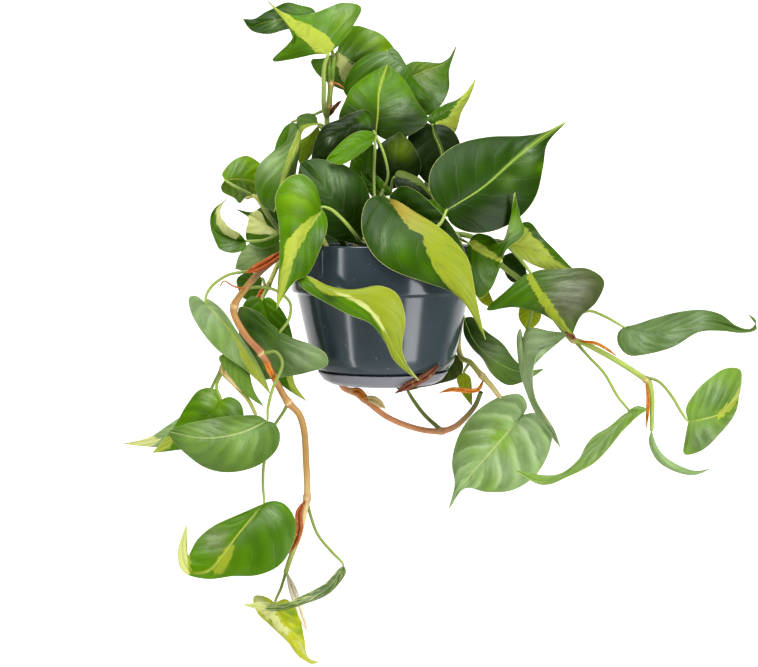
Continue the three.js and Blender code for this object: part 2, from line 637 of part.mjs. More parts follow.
    name: 'heart_leaf', vine: 'back_left_vine', paint: paint.green, lean: [-0.2, -0.2],
    stalk: [[222, 371], [216.5, 387, -34]],
    rib: [[221, 400, -38], [206, 418, -42], [182, 436, -40], [152, 453, -36]],
    left: [[218, 392, 2], [211, 388, 3], [198, 391, 5], [187, 405, 6], [176, 424, 5], [164, 440, 1]],
    right: [[230, 397, 2], [241, 404, 4], [243, 420, 5], [224, 440, 5], [190, 448, 3]],
  },
  {
    name: 'tailed_leaf', vine: 'back_left_vine', paint: paint.green, lean: [-0.2, 0],
    stalk: [[227, 359], [210, 392, -20]],
    rib: [[202, 420, -22], [180, 430, -24], [156, 439, -24], [123, 444, -22]],
    left: [[198, 411, 2], [186, 414, 3], [170, 424, 3], [150, 437, 1]],
    right: [[204, 432], [186, 443, 1], [160, 447, 1]],
  },
  {
    name: 'large_veined_leaf', vine: 'left_vine', paint: paint.pale, lean: [-0.1, -0.2],
    stalk: [[262, 354], [276, 352, -68], [282.5, 363, -68], [273, 388, -68], [268, 408, -66]],
    rib: [[267, 421.4, -64], [240, 433, -68], [205, 438, -66], [167.5, 431.3, -60]],
    left: [[259, 416, 4], [235, 416, 8], [212, 419, 8], [188, 424, 4]],
    right: [
      [274, 423, 1], [280, 434, 2], [277, 449, 3], [261, 464, 4], [242, 471, 4], [222, 472, 4],
      [204, 467, 4], [185, 453, 2], [173, 441, 1],
    ],
  },
  {
    name: 'low_left_leaf', vine: 'left_vine', paint: paint.green, lean: [0, -0.25],
    stalk: [[287, 403], [284, 411, -56], [274, 427, -56], [264, 464, -56], [263, 486, -56]],
    rib: [
      [264, 503.5, -56], [250, 520, -62], [236, 537, -64], [223, 555, -64], [208, 571, -62],
      [190, 572, -62], [182, 550, -64], [186.6, 523, -64],
    ],
    left: [[256, 507, 2], [233, 517, 4], [212, 527, 5], [197, 540, 4], [188, 556, 1], [187, 545, 1]],
    right: [
      [274, 501, 2], [286, 505, 4], [296, 523, 6], [292, 546, 6], [280, 565, 5], [258, 575, 4],
      [233, 576, 3], [207, 579, 1], [183, 572, 0], [178, 553, 0],
    ],
  },
  {
    name: 'low_edge_leaf', vine: 'left_vine', paint: paint.green,
    stalk: [[307, 500], [311, 517, -38], [318, 535, -36], [331, 551, -36]],
    rib: [
      [343.5, 565, -40], [332, 584, -50], [313, 597, -60], [286, 606, -68], [262, 607, -70],
      [242, 605, -70],
    ],
    left: [[339, 569, -8], [325, 583, -14], [303, 596, -14], [280, 604, -10], [260, 602, -2]],
    right: [[346, 572, 6], [334, 589, 12], [316, 600, 12], [294, 607, 8], [268, 611, 2]],
  },
  {
    name: 'end_leaf', vine: 'left_vine', paint: paint.lime, lean: [0, 0.2],
    stalk: [[286, 571], [281, 588, -46]],
    rib: [[275, 603, -42], [284, 622, -46], [297, 646, -48], [309, 663, -48], [319, 662, -48]],
    left: [[266, 597, 2], [254, 596, 4], [257, 612, 5], [272, 627, 5], [287, 641, 3], [301, 658, 1]],
    right: [[286, 599, 4], [298, 614, 8], [304, 637, 6], [308, 657, 2]],
  },
  // Right
  {
    name: 'spike_leaf', vine: 'right_vine', paint: paint.green,
    stalk: [[456, 235], [461, 239, -30]],
    rib: [[468, 243, -42], [486, 254, -48], [500, 258, -54], [509, 232, -60], [514.5, 192, -60]],
    left: [[476, 234, 2], [490, 236, 3], [501, 243, 1], [509, 224, 0], [513, 205, 0]],
    right: [
      [466, 258, 3], [470, 284, 5], [480, 298, 6], [491, 289, 6], [498, 272, 4], [506, 250, 3],
      [524, 234, 4], [520, 216, 2],
    ],
  },
  {
    name: 'lime_side_leaf', vine: 'right_vine', paint: paint.lime, lean: [0.2, 0],
    stalk: [[480, 241], [496, 240, -24]],
    rib: [[508, 243, -28], [530, 249, -30], [552, 260, -30], [580, 276, -26]],
    left: [[512, 230, 3], [528, 222, 5], [543, 238, 5], [562, 258, 3]],
    right: [[517, 255, -2], [531, 264, -2], [549, 270, -1]],
  },
  {
    name: 'grey_right_leaf', vine: 'right_vine', paint: paint.dark, stalkRadius: 1.5,
    stalk: [[484, 244], [503, 243, -36], [518, 257, -40]],
    rib: [[531, 273, -44], [543, 290, -50], [556, 308, -50], [572, 335, -44]],
    left: [[523, 276, 2], [508, 289, 4], [486.5, 310, 10], [512, 307, 7], [538, 312, 5], [558, 324, 2]],
    right: [[541, 270, 3], [562, 269, 8], [588, 269, 14], [604, 281, 16], [597, 301, 12], [580, 317, 5]],
  },
  {
    name: 'drooping_leaf', vine: 'right_vine', paint: paint.green,
    stalk: [[528, 288], [532, 312, -18]],
    rib: [[523, 341, -22], [524, 366, -26], [530, 393, -26], [543, 414, -26], [560.5, 448, -24]],
    left: [[520, 328, 2], [517, 336, 3], [517.5, 352, 4], [521, 375, 4], [529, 400, 3], [545, 428, 1]],
    right: [
      [530, 328, -3], [550, 331, -4], [567, 334, -4], [556, 344, -6], [540, 351, -8], [533, 370, -12],
      [535, 396, -10], [555, 431, -3],
    ],
  },
  {
    name: 'right_edge_leaf', vine: 'right_vine', paint: paint.green,
    stalk: [[575, 341], [589, 357, -30], [604, 373, -36], [618, 397, -42]],
    rib: [
      [629, 411.5, -44], [612, 431, -48], [591, 452, -48], [566, 474, -46], [541, 482, -44],
      [513, 470, -42],
    ],
    left: [[622, 416, 4], [609, 427, 8], [596, 435, 10], [586, 446, 10], [577, 461, 8], [558, 475, 4]],
    right: [
      [637, 406, -3], [647, 409, -6], [639, 415, -9], [624, 430, -12], [609, 448, -14], [592, 464, -12],
      [568, 477, -8], [543, 485, -2],
    ],
  },
  {
    name: 'far_right_leaf', vine: 'right_vine', paint: paint.green, lean: [0.3, 0],
    stalk: [[641, 376], [658, 381, -44], [671, 395, -50], [682, 413, -52]],
    rib: [[688.5, 421.5, -52], [704, 419, -58], [722, 413, -56], [739, 396, -42]],
    left: [[686, 408, 2], [694, 394, 4], [707, 380, 4], [724, 369, 6], [740, 370, 10], [741, 384, 8]],
    right: [[685, 440, 2], [684, 454, 4], [698, 452, 4], [714, 440, 4], [728, 424, 4], [737, 408, 4]],
  },
  {
    name: 'long_tipped_leaf', vine: 'right_vine', paint: paint.green, lean: [-0.1, -0.3],
    stalk: [[560, 325], [588, 311, -14], [606, 317, -14]],
    rib: [
      [624, 327, -14], [650, 334, -18], [680, 328, -18], [706, 321, -14], [728, 325, -10],
      [744, 331, -10], [756, 326, -10], [748, 314, -10],
    ],
    left: [
      [634, 325, 2], [655, 318, 5], [680, 312, 6], [704, 310, 6], [722, 315, 5], [735, 325, 1],
      [751, 329, 0], [756, 320, 0],
    ],
    right: [
      [618, 333, 1], [618, 344, 3], [628, 355, 5], [648, 354, 5], [673, 347, 5], [699, 332, 3],
      [722, 331, 1], [742, 333, 0], [757, 329, 0],
    ],
  },
  {
    name: 'low_heart_leaf', vine: 'right_back_vine', paint: paint.pale, lean: [-0.15, -0.25],
    stalk: [[516, 409]],
    rib: [[523, 415, -6], [508, 432, -14], [487, 456, -16], [466, 481, -12], [448.5, 509.6, -8]],
    left: [
      [527, 406, 1], [521, 395, 2], [503, 396, 4], [486, 404, 5], [469, 419, 5], [457, 440, 5],
      [452, 463, 4], [455, 484, 2],
    ],
    right: [
      [534, 413, 1], [545, 418, 3], [552, 434, 5], [547, 457, 6], [534, 477, 6], [513, 490, 5],
      [487, 492, 3], [465, 488, 1],
    ],
  },
  {
    name: 'back_right_leaf', vine: 'right_back_vine', paint: paint.dark,
    stalk: [[464, 262], [464, 290, 40]],
    rib: [[464, 318, 24], [474, 341, 18], [490, 357, 14], [517, 371, 14], [544.5, 369, 16]],
    left: [[472, 317, 3], [486, 331, 6], [502, 343, 6], [515, 360, 3], [530, 372, 0]],
    right: [[464, 334, 1], [473, 349, 4], [482, 358, 5], [492, 374, 5], [508, 385, 4], [527, 380, 1]],
  },
  {
    name: 'under_right_leaf', vine: 'right_back_vine', paint: paint.dark,
    stalk: [[459, 346], [456, 350, 46]],
    rib: [[452, 352, 50], [442, 364, 50], [432, 376, 50], [418, 388, 50]],
    left: [[444, 346, 2], [430, 352, 4], [420, 372, 3]],
    right: [[462, 360, -2], [461, 375, -3], [438, 384, -1]],
  },
];

// Small leaves that are one piece with their vine

const smallLeaves = [
  {
    vine: 'crown_vine', stalk: [[329, 108], [306, 118, 16]],
    rib: [[292, 122, 12], [284, 136, 10], [274, 152, 8]],
    left: [[285, 127, 2], [278, 139, 3]],
    right: [[291, 134, 2], [285, 147, 2]],
  },
  {
    vine: 'crown_vine', stalk: [[329, 138], [324, 131, 17]],
    rib: [[318, 126, 14], [311, 142, 16], [300, 165, 16]],
    left: [[309, 135, 2], [300, 142, 3], [298, 156, 2]],
    right: [[320, 135, 2], [315, 148, 3], [308, 159, 2]],
  },
  {
    vine: 'back_trailing_vine', stalk: [[352, 205], [360, 185, 56]],
    rib: [[364, 180, 48], [367, 162, 44], [370, 141, 42]],
    left: [[350, 172], [354, 154]],
    right: [[382, 176], [381, 156]],
  },
  {
    vine: 'right_vine', stalk: [[497, 258]],
    rib: [[503, 256, -8], [514, 266, -8], [528, 280, -6]],
    left: [[512, 253, 2], [523, 262, 3]],
    right: [[503, 268, 1], [512, 282, 2]],
  },
  {
    vine: 'right_vine', stalk: [[487, 247], [482, 262, -24]],
    rib: [[478, 278, -26], [484, 292, -28], [497, 310, -28]],
    left: [[473, 286, 1], [481, 302, 1]],
    right: [[485, 283, 2], [491, 297, 1]],
  },
  {
    vine: 'right_vine', stalk: [[540, 301]],
    rib: [[531, 303, -4], [530, 314, -2], [528, 332, 0]],
    left: [[521, 305, 1], [519, 318, 1]],
    right: [[540, 306, 1], [540, 320, 1]],
  },
  {
    vine: 'right_vine', stalk: [[652, 424]],
    rib: [[651.5, 430, -46], [656, 449, -49], [671, 466, -51], [690, 472, -51], [711, 469, -49]],
    left: [[649, 442, 4], [657, 460, 5], [674, 471, 4], [694, 475, 1]],
    right: [[655, 442, 4], [663, 455, 5], [680, 466, 4], [696, 471, 1]],
  },
  {
    vine: 'back_left_vine', stalk: [[266, 290]],
    rib: [[262, 278, 10], [252, 284, 12], [240, 295, 12]],
    left: [[250, 272, 2], [237, 279, 2]],
    right: [[260, 292, 1], [248, 300, 1]],
  },
  {
    vine: 'back_left_vine', stalk: [[232, 351]],
    rib: [[228, 353, -36], [242, 376, -40], [264, 407, -42]],
    left: [[219, 357, 2], [229, 375, 3], [248, 396, 1]],
    right: [[238, 352, 2], [248, 368, 3], [254, 391, 1]],
  },
  {
    vine: 'under_pot_vine', stalk: [[442, 431], [423, 413, 42]],
    rib: [[408, 391, 60], [402, 366, 84], [398, 338, 94]],
    left: [[396, 388, 2], [386, 370, 3], [389, 352, 1]],
    right: [[420, 386, 2], [414, 364, 3], [406, 350, 1]],
  },
  {
    vine: 'right_back_vine', stalk: [[470, 362]],
    rib: [[464, 372, 20], [465, 388, 22], [472, 406, 22]],
    left: [[457, 378, 1], [462, 393, 1]],
    right: [[470, 377, 1], [472, 391, 1]],
  },
];

// Leaves on the side away from the eye, as hearts from a base to a tip in millimetres

const backLeaves = [
  { vine: 'back_trailing_vine', base: [-38, 106, 6], tip: [-30, 138, -56], halfWidth: 29 },
  { vine: 'back_trailing_vine', base: [-24, 108, -46], tip: [-26, 130, -98], halfWidth: 26 },
  { vine: 'back_trailing_vine', base: [-50, 84, 44], tip: [-76, 110, 6], halfWidth: 26 },
  { vine: 'back_right_leafy_vine', base: [42, 114, 10], tip: [36, 142, -50], halfWidth: 29 },
  { vine: 'back_right_leafy_vine', base: [36, 108, -50], tip: [30, 126, -98], halfWidth: 25 },
  { vine: 'back_right_leafy_vine', base: [46, 98, 52], tip: [74, 122, 18], halfWidth: 28 },
];
const heartEdge = [[-0.09, 0.42], [0, 0.86], [0.2, 1], [0.42, 0.86], [0.66, 0.5], [0.86, 0.15]];

function makeHeart({ base, tip, halfWidth }, vine) {
  const [from, to] = [new THREE.Vector3(...base), new THREE.Vector3(...tip)];
  const along = to.clone().sub(from);
  const upper = new THREE.Vector3(0, 1, 0.6).normalize();
  const across = along.clone().cross(upper).normalize().multiplyScalar(halfWidth);
  const sag = upper.clone().multiplyScalar(0.1 * along.length());
  const middle = from.clone().addScaledVector(along, 0.5).add(sag);
  const edge = (side) => heartEdge.map(([share, width]) => from.clone().addScaledVector(along, share)
    .addScaledVector(across, side * width).addScaledVector(sag, 0.4));
  const sheet = blade([from, middle, to], edge(-1), edge(1), { face: -1 });
  const curve = spline(vine.centres);
  const root = curve.getSpacedPoints(80).sort((a, b) => a.distanceTo(from) - b.distanceTo(from))[0];
  return sheet.add(tube([root, from, from.clone().addScaledVector(along, 0.04)], stalkRadius, stalkSides, 3));
}

// Papery sheaths and short aerial roots at the nodes; each widens from its vine and narrows again

const sheaths = [
  { vine: 'left_vine', halfWidth: 3.4, spine: [[284, 251, -62], [265, 264, -68], [245, 273, -70]] },
  { vine: 'left_vine', halfWidth: 2.2, spine: [[265, 360, -63], [269, 369, -66], [276, 382, -62]] },
  {
    vine: 'left_vine', halfWidth: 3,
    spine: [[307, 498, -41], [299, 512, -45], [299, 530, -45], [292, 548, -44], [286, 556, -44]],
  },
  { vine: 'left_vine', halfWidth: 2.6, spine: [[286, 570, -40], [297, 602, -36], [308, 634, -34]] },
  { vine: 'back_left_vine', halfWidth: 3, spine: [[223, 371, -31], [233, 380, -37], [242, 392, -38]] },
  { vine: 'back_left_vine', halfWidth: 2.6, spine: [[269, 284, 3], [261, 294, -7], [257, 304, -12]] },
  { vine: 'crown_vine', halfWidth: 3.4, spine: [[331, 84, 8], [331, 70, 3], [331, 54, 5]] },
  { vine: 'crown_vine', halfWidth: 1.6, spine: [[329, 117, 12], [335, 107, 7], [342, 100, 6]] },
  { vine: 'right_vine', halfWidth: 1.8, spine: [[576, 341, -23], [598, 344, -34], [618, 357, -38]] },
  { vine: 'right_vine', halfWidth: 1.9, spine: [[645, 378, -39], [648, 398, -46], [646, 430, -50]] },
  { vine: 'right_vine', halfWidth: 2, spine: [[576, 341, -23], [570, 334, -28], [562, 333, -30]] },
  { vine: 'under_pot_vine', halfWidth: 3.4, spine: [[350, 391, 67], [359, 392, 57], [369, 403, 51]] },
  { vine: 'under_pot_vine', halfWidth: 3.4, spine: [[364, 399, 56], [374, 400, 48], [386, 409, 42]] },
  {
    vine: 'right_back_vine', halfWidth: 2,
    spine: [[484, 378, 3], [476, 391, -4], [456, 389, -8], [438, 393, -8]],
  },
];
const aerialRoots = [
  {
    vine: 'left_vine',
    spine: [[246, 288, -62], [240, 288, -68], [233, 286, -70], [224, 281, -70], [219.5, 287, -70]],
  },
  { vine: 'crown_vine', spine: [[331, 83, 8], [338, 84, 3], [345, 89, 2]] },
];
const aerialRootRadius = 0.9;

// A loose brown sheath lies against the pot's foot and the saucer's edge
const looseSheath = {
  halfWidth: 3.2,
  spine: [[440, 363, -41.3], [427, 376, -46.3], [411, 384, -49.3], [394, 394, -50.3]],
};

function makeSheath({ spine, halfWidth }) {
  const middle = placed(spine);
  const curve = spline(middle);
  const edge = (side) => [0.25, 0.5, 0.75].map((share) => {
    const across = curve.getTangentAt(share).cross(ahead).normalize();
    const width = halfWidth * Math.sqrt(Math.sin(Math.PI * share));
    return curve.getPointAt(share).addScaledVector(across, side * width);
  });
  return blade(middle, edge(-1), edge(1), { arch: 0.3 });
}

// Assembly

const vineByName = {};
for (const vine of vines) {
  vine.centres = vineCentres(vine);
  vine.body = tube(vine.centres, vine.radius, vineSides, vine.steps);
  vineByName[vine.name] = vine;
}

for (const leaf of leaves) {
  const vine = vineByName[leaf.vine];
  const sleeve = tube(vine.centres, vine.radius + clearance, vineSides, vine.steps);
  add(leaf.name, largest(makeLeaf(leaf, vine).subtract(sleeve)), leaf.paint);
}

for (const leaf of smallLeaves) {
  const vine = vineByName[leaf.vine];
  vine.body = vine.body.add(makeLeaf(leaf, vine));
}

for (const leaf of backLeaves) {
  const vine = vineByName[leaf.vine];
  vine.body = vine.body.add(makeHeart(leaf, vine));
}

for (const sheath of sheaths) {
  const vine = vineByName[sheath.vine];
  vine.body = vine.body.add(makeSheath(sheath));
}

for (const { vine, spine } of aerialRoots) {
  vineByName[vine].body = vineByName[vine].body.add(tube(placed(spine), aerialRootRadius, 4, spine.length));
}

for (const vine of vines) add(vine.name, vine.body, vine.paint);
add('loose_sheath', makeSheath(looseSheath), paint.sheath);

makeSoil(vines);
makeSaucer();
makePot();

export default plant;
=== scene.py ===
import bisect
import math
import random

import bmesh
import bpy
from mathutils import Matrix, Vector, noise


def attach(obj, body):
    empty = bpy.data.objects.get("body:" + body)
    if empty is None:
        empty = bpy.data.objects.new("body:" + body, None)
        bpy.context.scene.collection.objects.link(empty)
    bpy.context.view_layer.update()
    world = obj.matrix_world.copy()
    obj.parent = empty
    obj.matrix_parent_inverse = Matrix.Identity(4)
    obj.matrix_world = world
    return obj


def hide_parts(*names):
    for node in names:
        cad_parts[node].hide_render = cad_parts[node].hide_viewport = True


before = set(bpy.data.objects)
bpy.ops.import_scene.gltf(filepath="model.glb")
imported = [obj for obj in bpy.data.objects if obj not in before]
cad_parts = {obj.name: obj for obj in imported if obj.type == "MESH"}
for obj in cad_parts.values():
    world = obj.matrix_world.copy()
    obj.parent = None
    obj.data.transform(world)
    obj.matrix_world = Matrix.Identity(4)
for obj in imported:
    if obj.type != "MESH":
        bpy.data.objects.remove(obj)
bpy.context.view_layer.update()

mm = 0.001
weldDistance = 1e-6
sharpAngle = math.radians(55)

# Names of the colours that the plant is painted with; the deep green also stands for painted shade,
# on leaves that lie under others
palette = {
    "deep": "#172905", "dark": "#27430f", "mid": "#416616", "bright": "#517c12", "fresh": "#74962f",
    "lime": "#92a024", "yellowLime": "#aebc40", "cream": "#dbe08e", "olive": "#60742c",
    "oliveDark": "#424f25", "grey": "#78964f", "greyDark": "#556e3c", "greySheen": "#8ea46c",
    "sheen": "#aebd8c", "pale": "#92ab78", "ribLine": "#b6c968", "brown": "#6f5c40", "stalk": "#a0b84e",
    "tan": "#b88c45", "straw": "#ead192", "reddish": "#b4744a", "rust": "#b8602a", "amber": "#d8841f",
    "orange": "#b8560f", "sage": "#8a9f72", "salmon": "#f0a270", "dry": "#7a4025", "umber": "#4a4a35",
    "leafGold": "#c3c75c", "blush": "#fbeeda",
}


def linear(hexColour):
    # A hex colour as the linear numbers that materials take
    values = [int(hexColour[i:i + 2], 16) / 255 for i in (1, 3, 5)]
    return tuple(v / 12.92 if v <= 0.04045 else ((v + 0.055) / 1.055) ** 2.4 for v in values) + (1.0,)


def tone(name):
    return linear(palette[name])


def mixed(one, other, share):
    return tuple(a + (b - a) * share for a, b in zip(one, other))


# The view that every pixel in this file is a place in: 758 by 667, seen from -Y.
# A third number is a depth in millimetres behind the plane of the pot's axis.
view = {"width": 758, "height": 667, "distance": 1.2, "metresPerPixel": 0.00083, "elevation": 4.5}
aim = Vector((-0.0033, 0, -0.0735))
tilt = math.radians(view["elevation"])
ahead = Vector((0, math.cos(tilt), -math.sin(tilt)))
upward = Vector((0, math.sin(tilt), math.cos(tilt)))
eye = aim - ahead * view["distance"]
focal = view["distance"] / view["metresPerPixel"]


def at(px, py, depth):
    ray = ahead * focal + upward * (view["height"] / 2 - py) + Vector((px - view["width"] / 2, 0, 0))
    return eye + ray * ((depth * mm - eye.y) / ray.y)


def pixelOf(point):
    ray = point - eye
    scale = focal / ray.dot(ahead)
    return view["width"] / 2 + ray.x * scale, view["height"] / 2 - ray.dot(upward) * scale


def placed(points):
    # Depths left out are shared out between the ones that are given
    known = [i for i, p in enumerate(points) if len(p) > 2]
    out = []
    for i, p in enumerate(points):
        if len(p) > 2:
            out.append(at(*p))
            continue
        before = max(k for k in known if k < i)
        after = min(k for k in known if k > i)
        share = (i - before) / (after - before)
        out.append(at(p[0], p[1], points[before][2] + (points[after][2] - points[before][2]) * share))
    return out


routes = {"pieces": 160, "tangentStep": 0.01, "searchSteps": 400, "shortest": 1e-4}


class Route:
    # A smooth curve through points, read by the share of its length
    def __init__(self, points, pieces=routes["pieces"]):
        self.points = points
        self.samples = [self.through(i / pieces) for i in range(pieces + 1)]
        self.lengths = [0.0]
        for a, b in zip(self.samples, self.samples[1:]):
            self.lengths.append(self.lengths[-1] + (b - a).length)
        self.length = self.lengths[-1]

    def through(self, t):
        # Centripetal, so that it doesn't loop where points lie close together
        last = len(self.points) - 1
        i = min(int(t * last), last - 1)
        w = t * last - i
        b, c = self.points[i], self.points[i + 1]
        a = self.points[i - 1] if i > 0 else b * 2 - c
        d = self.points[i + 2] if i + 2 <= last else c * 2 - b
        ab, bc, cd = ((q - p).length ** 0.5 for p, q in ((a, b), (b, c), (c, d)))
        bc = max(bc, routes["shortest"])
        ab = ab if ab > routes["shortest"] else bc
        cd = cd if cd > routes["shortest"] else bc
        start = ((b - a) / ab - (c - a) / (ab + bc) + (c - b) / bc) * bc
        end = ((c - b) / bc - (d - b) / (bc + cd) + (d - c) / cd) * bc
        return (b + start * w + (c * 3 - b * 3 - start * 2 - end) * w ** 2
                + (b * 2 - c * 2 + start + end) * w ** 3)

    def at(self, share):
        goal = min(max(share, 0), 1) * self.length
        i = min(max(bisect.bisect_right(self.lengths, goal) - 1, 0), len(self.samples) - 2)
        step = self.lengths[i + 1] - self.lengths[i]
        return self.samples[i].lerp(self.samples[i + 1], (goal - self.lengths[i]) / step if step else 0)

    def tangent(self, share):
        step = routes["tangentStep"]
        return (self.at(share + step) - self.at(share - step)).normalized()

    def nearest(self, px, py):
        # The share of the length that shows nearest to a pixel
        steps = routes["searchSteps"]
        shares = [i / steps for i in range(steps + 1)]
        return min(shares, key=lambda s: math.dist(pixelOf(self.at(s)), (px, py)))


def inside(x, y, outline):
    # Distance in pixels to an outline, above zero inside it
    best, within = math.inf, False
    for (ax, ay), (bx, by) in zip(outline, outline[1:] + outline[:1]):
        dx, dy = bx - ax, by - ay
        t = max(0, min(1, ((x - ax) * dx + (y - ay) * dy) / (dx * dx + dy * dy)))
        best = min(best, math.hypot(x - ax - t * dx, y - ay - t * dy))
        if (ay > y) != (by > y) and x < ax + (y - ay) * dx / dy:
            within = not within
    return best if within else -best


def smooth(low, high, value):
    # 0 up to low, 1 from high on
    t = max(0, min(1, (value - low) / (high - low)))
    return t * t * (3 - 2 * t)


def nearness(px, py, spot):
    # 1 in the middle of a spot of x, y and reach, and next to nothing past twice the reach
    x, y, reach = spot
    return math.exp(-((px - x) ** 2 + (py - y) ** 2) / reach ** 2)


def linked(name, data):
    # A new object in the scene
    thing = bpy.data.objects.new(name, data)
    bpy.context.scene.collection.objects.link(thing)
    return thing


# Attributes that the materials read, on the points of every grown piece: millimetres inside a patch or
# from the midrib or rim, and how strongly the veins, the pale edging, the flecks and the painted sheen show
numbers = ("lime", "cream", "rib", "rim", "veins", "edging", "middle", "mottle", "shine")
colours = ("tint", "accent")
onLeaf, onStem, onSheath = 0, 1, 2  # numbers of the three materials of every grown piece


def grid(columns, rows, place):
    # A sheet of points: place(across, along) gives each its spot and what the materials read there
    bm = bmesh.new()
    bmesh.ops.create_grid(bm, x_segments=columns, y_segments=rows, size=0.5)
    uv = bm.loops.layers.uv.new("UVMap")
    for face in bm.faces:
        for loop in face.loops:
            loop[uv].uv = (loop.vert.co.x + 0.5, loop.vert.co.y + 0.5)
    layers = {name: bm.verts.layers.float.new(name) for name in numbers}
    layers.update({name: bm.verts.layers.float_color.new(name) for name in colours})
    for vert in bm.verts:
        vert.co, facts = place(vert.co.x + 0.5, vert.co.y + 0.5)
        for name, value in facts.items():
            vert[layers[name]] = value
    bmesh.ops.remove_doubles(bm, verts=bm.verts, dist=weldDistance)
    return bm


def meshOf(bm, name):
    mesh = bpy.data.meshes.new(name)
    bm.to_mesh(mesh)
    bm.free()
    return mesh


def hardened(mesh, kind, settings):
    # The mesh with a modifier applied
    helper = linked("helper", mesh)
    modifier = helper.modifiers.new(kind.title(), kind)
    for key, value in settings.items():
        setattr(modifier, key, value)
    result = bpy.data.meshes.new_from_object(helper.evaluated_get(bpy.context.evaluated_depsgraph_get()))
    bpy.data.objects.remove(helper)
    return result


def finishedPiece(name, parts, materials, slot, node=None):
    # Joins meshes, each with the number of its material, in one piece at the origin
    bm = bmesh.new()
    for mesh, number in parts:
        start = len(bm.faces)
        bm.from_mesh(mesh)
        bm.faces.ensure_lookup_table()
        for face in bm.faces[start:]:
            face.material_index = number
            face.smooth = True
    mesh = meshOf(bm, name)
    for material in materials:
        mesh.materials.append(material)
    mesh.set_sharp_from_angle(angle=sharpAngle)
    piece = linked(name, mesh)
    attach(piece, "root")
    if node:
        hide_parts(node)


def tube(route, radiusAt, tintAt, sides, step):
    # A closed tube on a route, its rings turned as little as can be
    rows = max(4, round(route.length / step))
    rings = []
    side = None
    for i in range(rows + 1):
        along = route.tangent(i / rows)
        if side is None:
            side = along.orthogonal()
        side = (side - along * side.dot(along)).normalized()
        rings.append((route.at(i / rows), side, along.cross(side)))

    def place(across, along):
        centre, side, other = rings[round(along * rows)]
        angle = across * 2 * math.pi
        radius = 0 if along in (0, 1) else radiusAt(along, angle)
        return centre + (side * math.cos(angle) + other * math.sin(angle)) * radius, {"tint": tintAt(along)}

    bm = grid(sides, rows, place)
    bmesh.ops.recalc_face_normals(bm, faces=bm.faces)
    return meshOf(bm, "tube")


# Leaf blades: ruled from the midrib out to both edges, arched, grooved along the rib
# and quilted a little between the side veins
blades = {
    "sheet": (24, 44), "smallSheet": (14, 26), "crowding": 1.25, "arch": 0.08, "thickness": 0.0006,
    "groove": 0.00045, "grooveWidth": 0.0013, "veinPairs": 7, "veinSweep": 0.26, "quiltStart": 0.1,
    "quiltEnd": 0.85, "wave": 0.0005, "waves": 17, "shade": 0.85, "tanShare": 0.6,
}
farOut = 9.0  # millimetres outside a patch that count as nowhere near it
# What a leaf has unless its plan says otherwise
usualLeaf = {
    "accent": "lime", "veins": 0.35, "rim": 0.3, "mottle": 0.5, "quilt": 0.3, "marble": farOut,
    "lean": (0, 0), "stalk": [], "stalkRadius": 1.25, "ribBand": [], "lime": [], "cream": [], "shades": [],
    "shine": [],
}


def bandWidth(band, along):
    # Half width in millimetres of the pale band along the midrib
    if not band:
        return -farOut
    spot = along * (len(band) - 1)
    i = min(int(spot), len(band) - 2)
    return band[i] + (band[i + 1] - band[i]) * (spot - i)


def tintOf(plan, px, py):
    # Soft patches of other tones over the leaf's own; the deepest are painted shade where a leaf lies under
    # others
    colour = tone(plan["tone"])
    for name, *spot in plan["shades"]:
        colour = mixed(colour, tone(name), blades["shade"] * nearness(px, py, spot))
    return colour


def accentOf(plan, px, py):
    # The colour of the lime patches, tan towards one spot where a leaf has that
    colour = tone(plan["accent"])
    if "tan" in plan:
        colour = mixed(colour, tone("tan"), blades["tanShare"] * nearness(px, py, plan["tan"]))
    return colour


def patchDepth(outlines, least, px, py):
    # Millimetres inside the nearest outline, below zero outside
    depths = [inside(px, py, outline) * view["metresPerPixel"] / mm for outline in outlines]
    return max([least, *depths])


def blade(rib, edges, plan, seed, face=1, arch=blades["arch"], small=False, thickness=blades["thickness"]):
    plan = {**usualLeaf, **plan}
    ribRoute = Route(rib)
    edgeRoutes = [Route([rib[0], *edge, rib[-1]]) for edge in edges]
    quilt = plan["quilt"] * mm

    def rowAt(along):
        share = along ** blades["crowding"]
        middle = ribRoute.at(share)
        sides = [edge.at(along) - middle for edge in edgeRoutes]
        upper = (sides[1] - sides[0]).cross(ribRoute.tangent(share))
        return middle, sides, upper.normalized()

    facing = -face if rowAt(0.5)[2].dot(ahead) > 0 else face

    def place(across, along):
        middle, sides, upper = rowAt(along)
        reach = abs(across - 0.5) * 2
        side = sides[0] if across < 0.5 else sides[1]
        out = side.length * reach
        phase = (along - blades["veinSweep"] * reach) * blades["veinPairs"]
        swell = math.sin(math.pi * phase) ** 2 * min(1, 4 * reach * (1 - reach))
        swell *= smooth(0, blades["quiltStart"], along)
        rise = facing * arch * side.length * 4 * reach * (1 - reach)
        rise += facing * quilt * swell * smooth(1, blades["quiltEnd"], along)
        rise -= facing * blades["groove"] * math.exp(-(out / blades["grooveWidth"]) ** 2)
        wave = blades["wave"] * math.sin(along * blades["waves"] + seed)
        rise += wave * reach ** 3 * math.sin(math.pi * along)
        spot = middle + side * reach + upper * rise
        px, py = pixelOf(spot)
        return spot, {
            "tint": tintOf(plan, px, py), "accent": accentOf(plan, px, py),
            "lime": patchDepth(plan["lime"], -plan["marble"], px, py),
            "cream": patchDepth(plan["cream"], -farOut, px, py),
            "rib": bandWidth(plan["ribBand"], along) - out / mm,
            "middle": out / mm, "rim": (side.length - out) / mm, "veins": plan["veins"],
            "edging": plan["rim"], "mottle": plan["mottle"],
            "shine": sum(nearness(px, py, glint) for glint in plan["shine"]),
        }

    bm = grid(*blades["smallSheet" if small else "sheet"], place)
    shell = {"thickness": thickness, "offset": 0, "use_rim": True}
    return hardened(meshOf(bm, "blade"), "SOLIDIFY", shell)


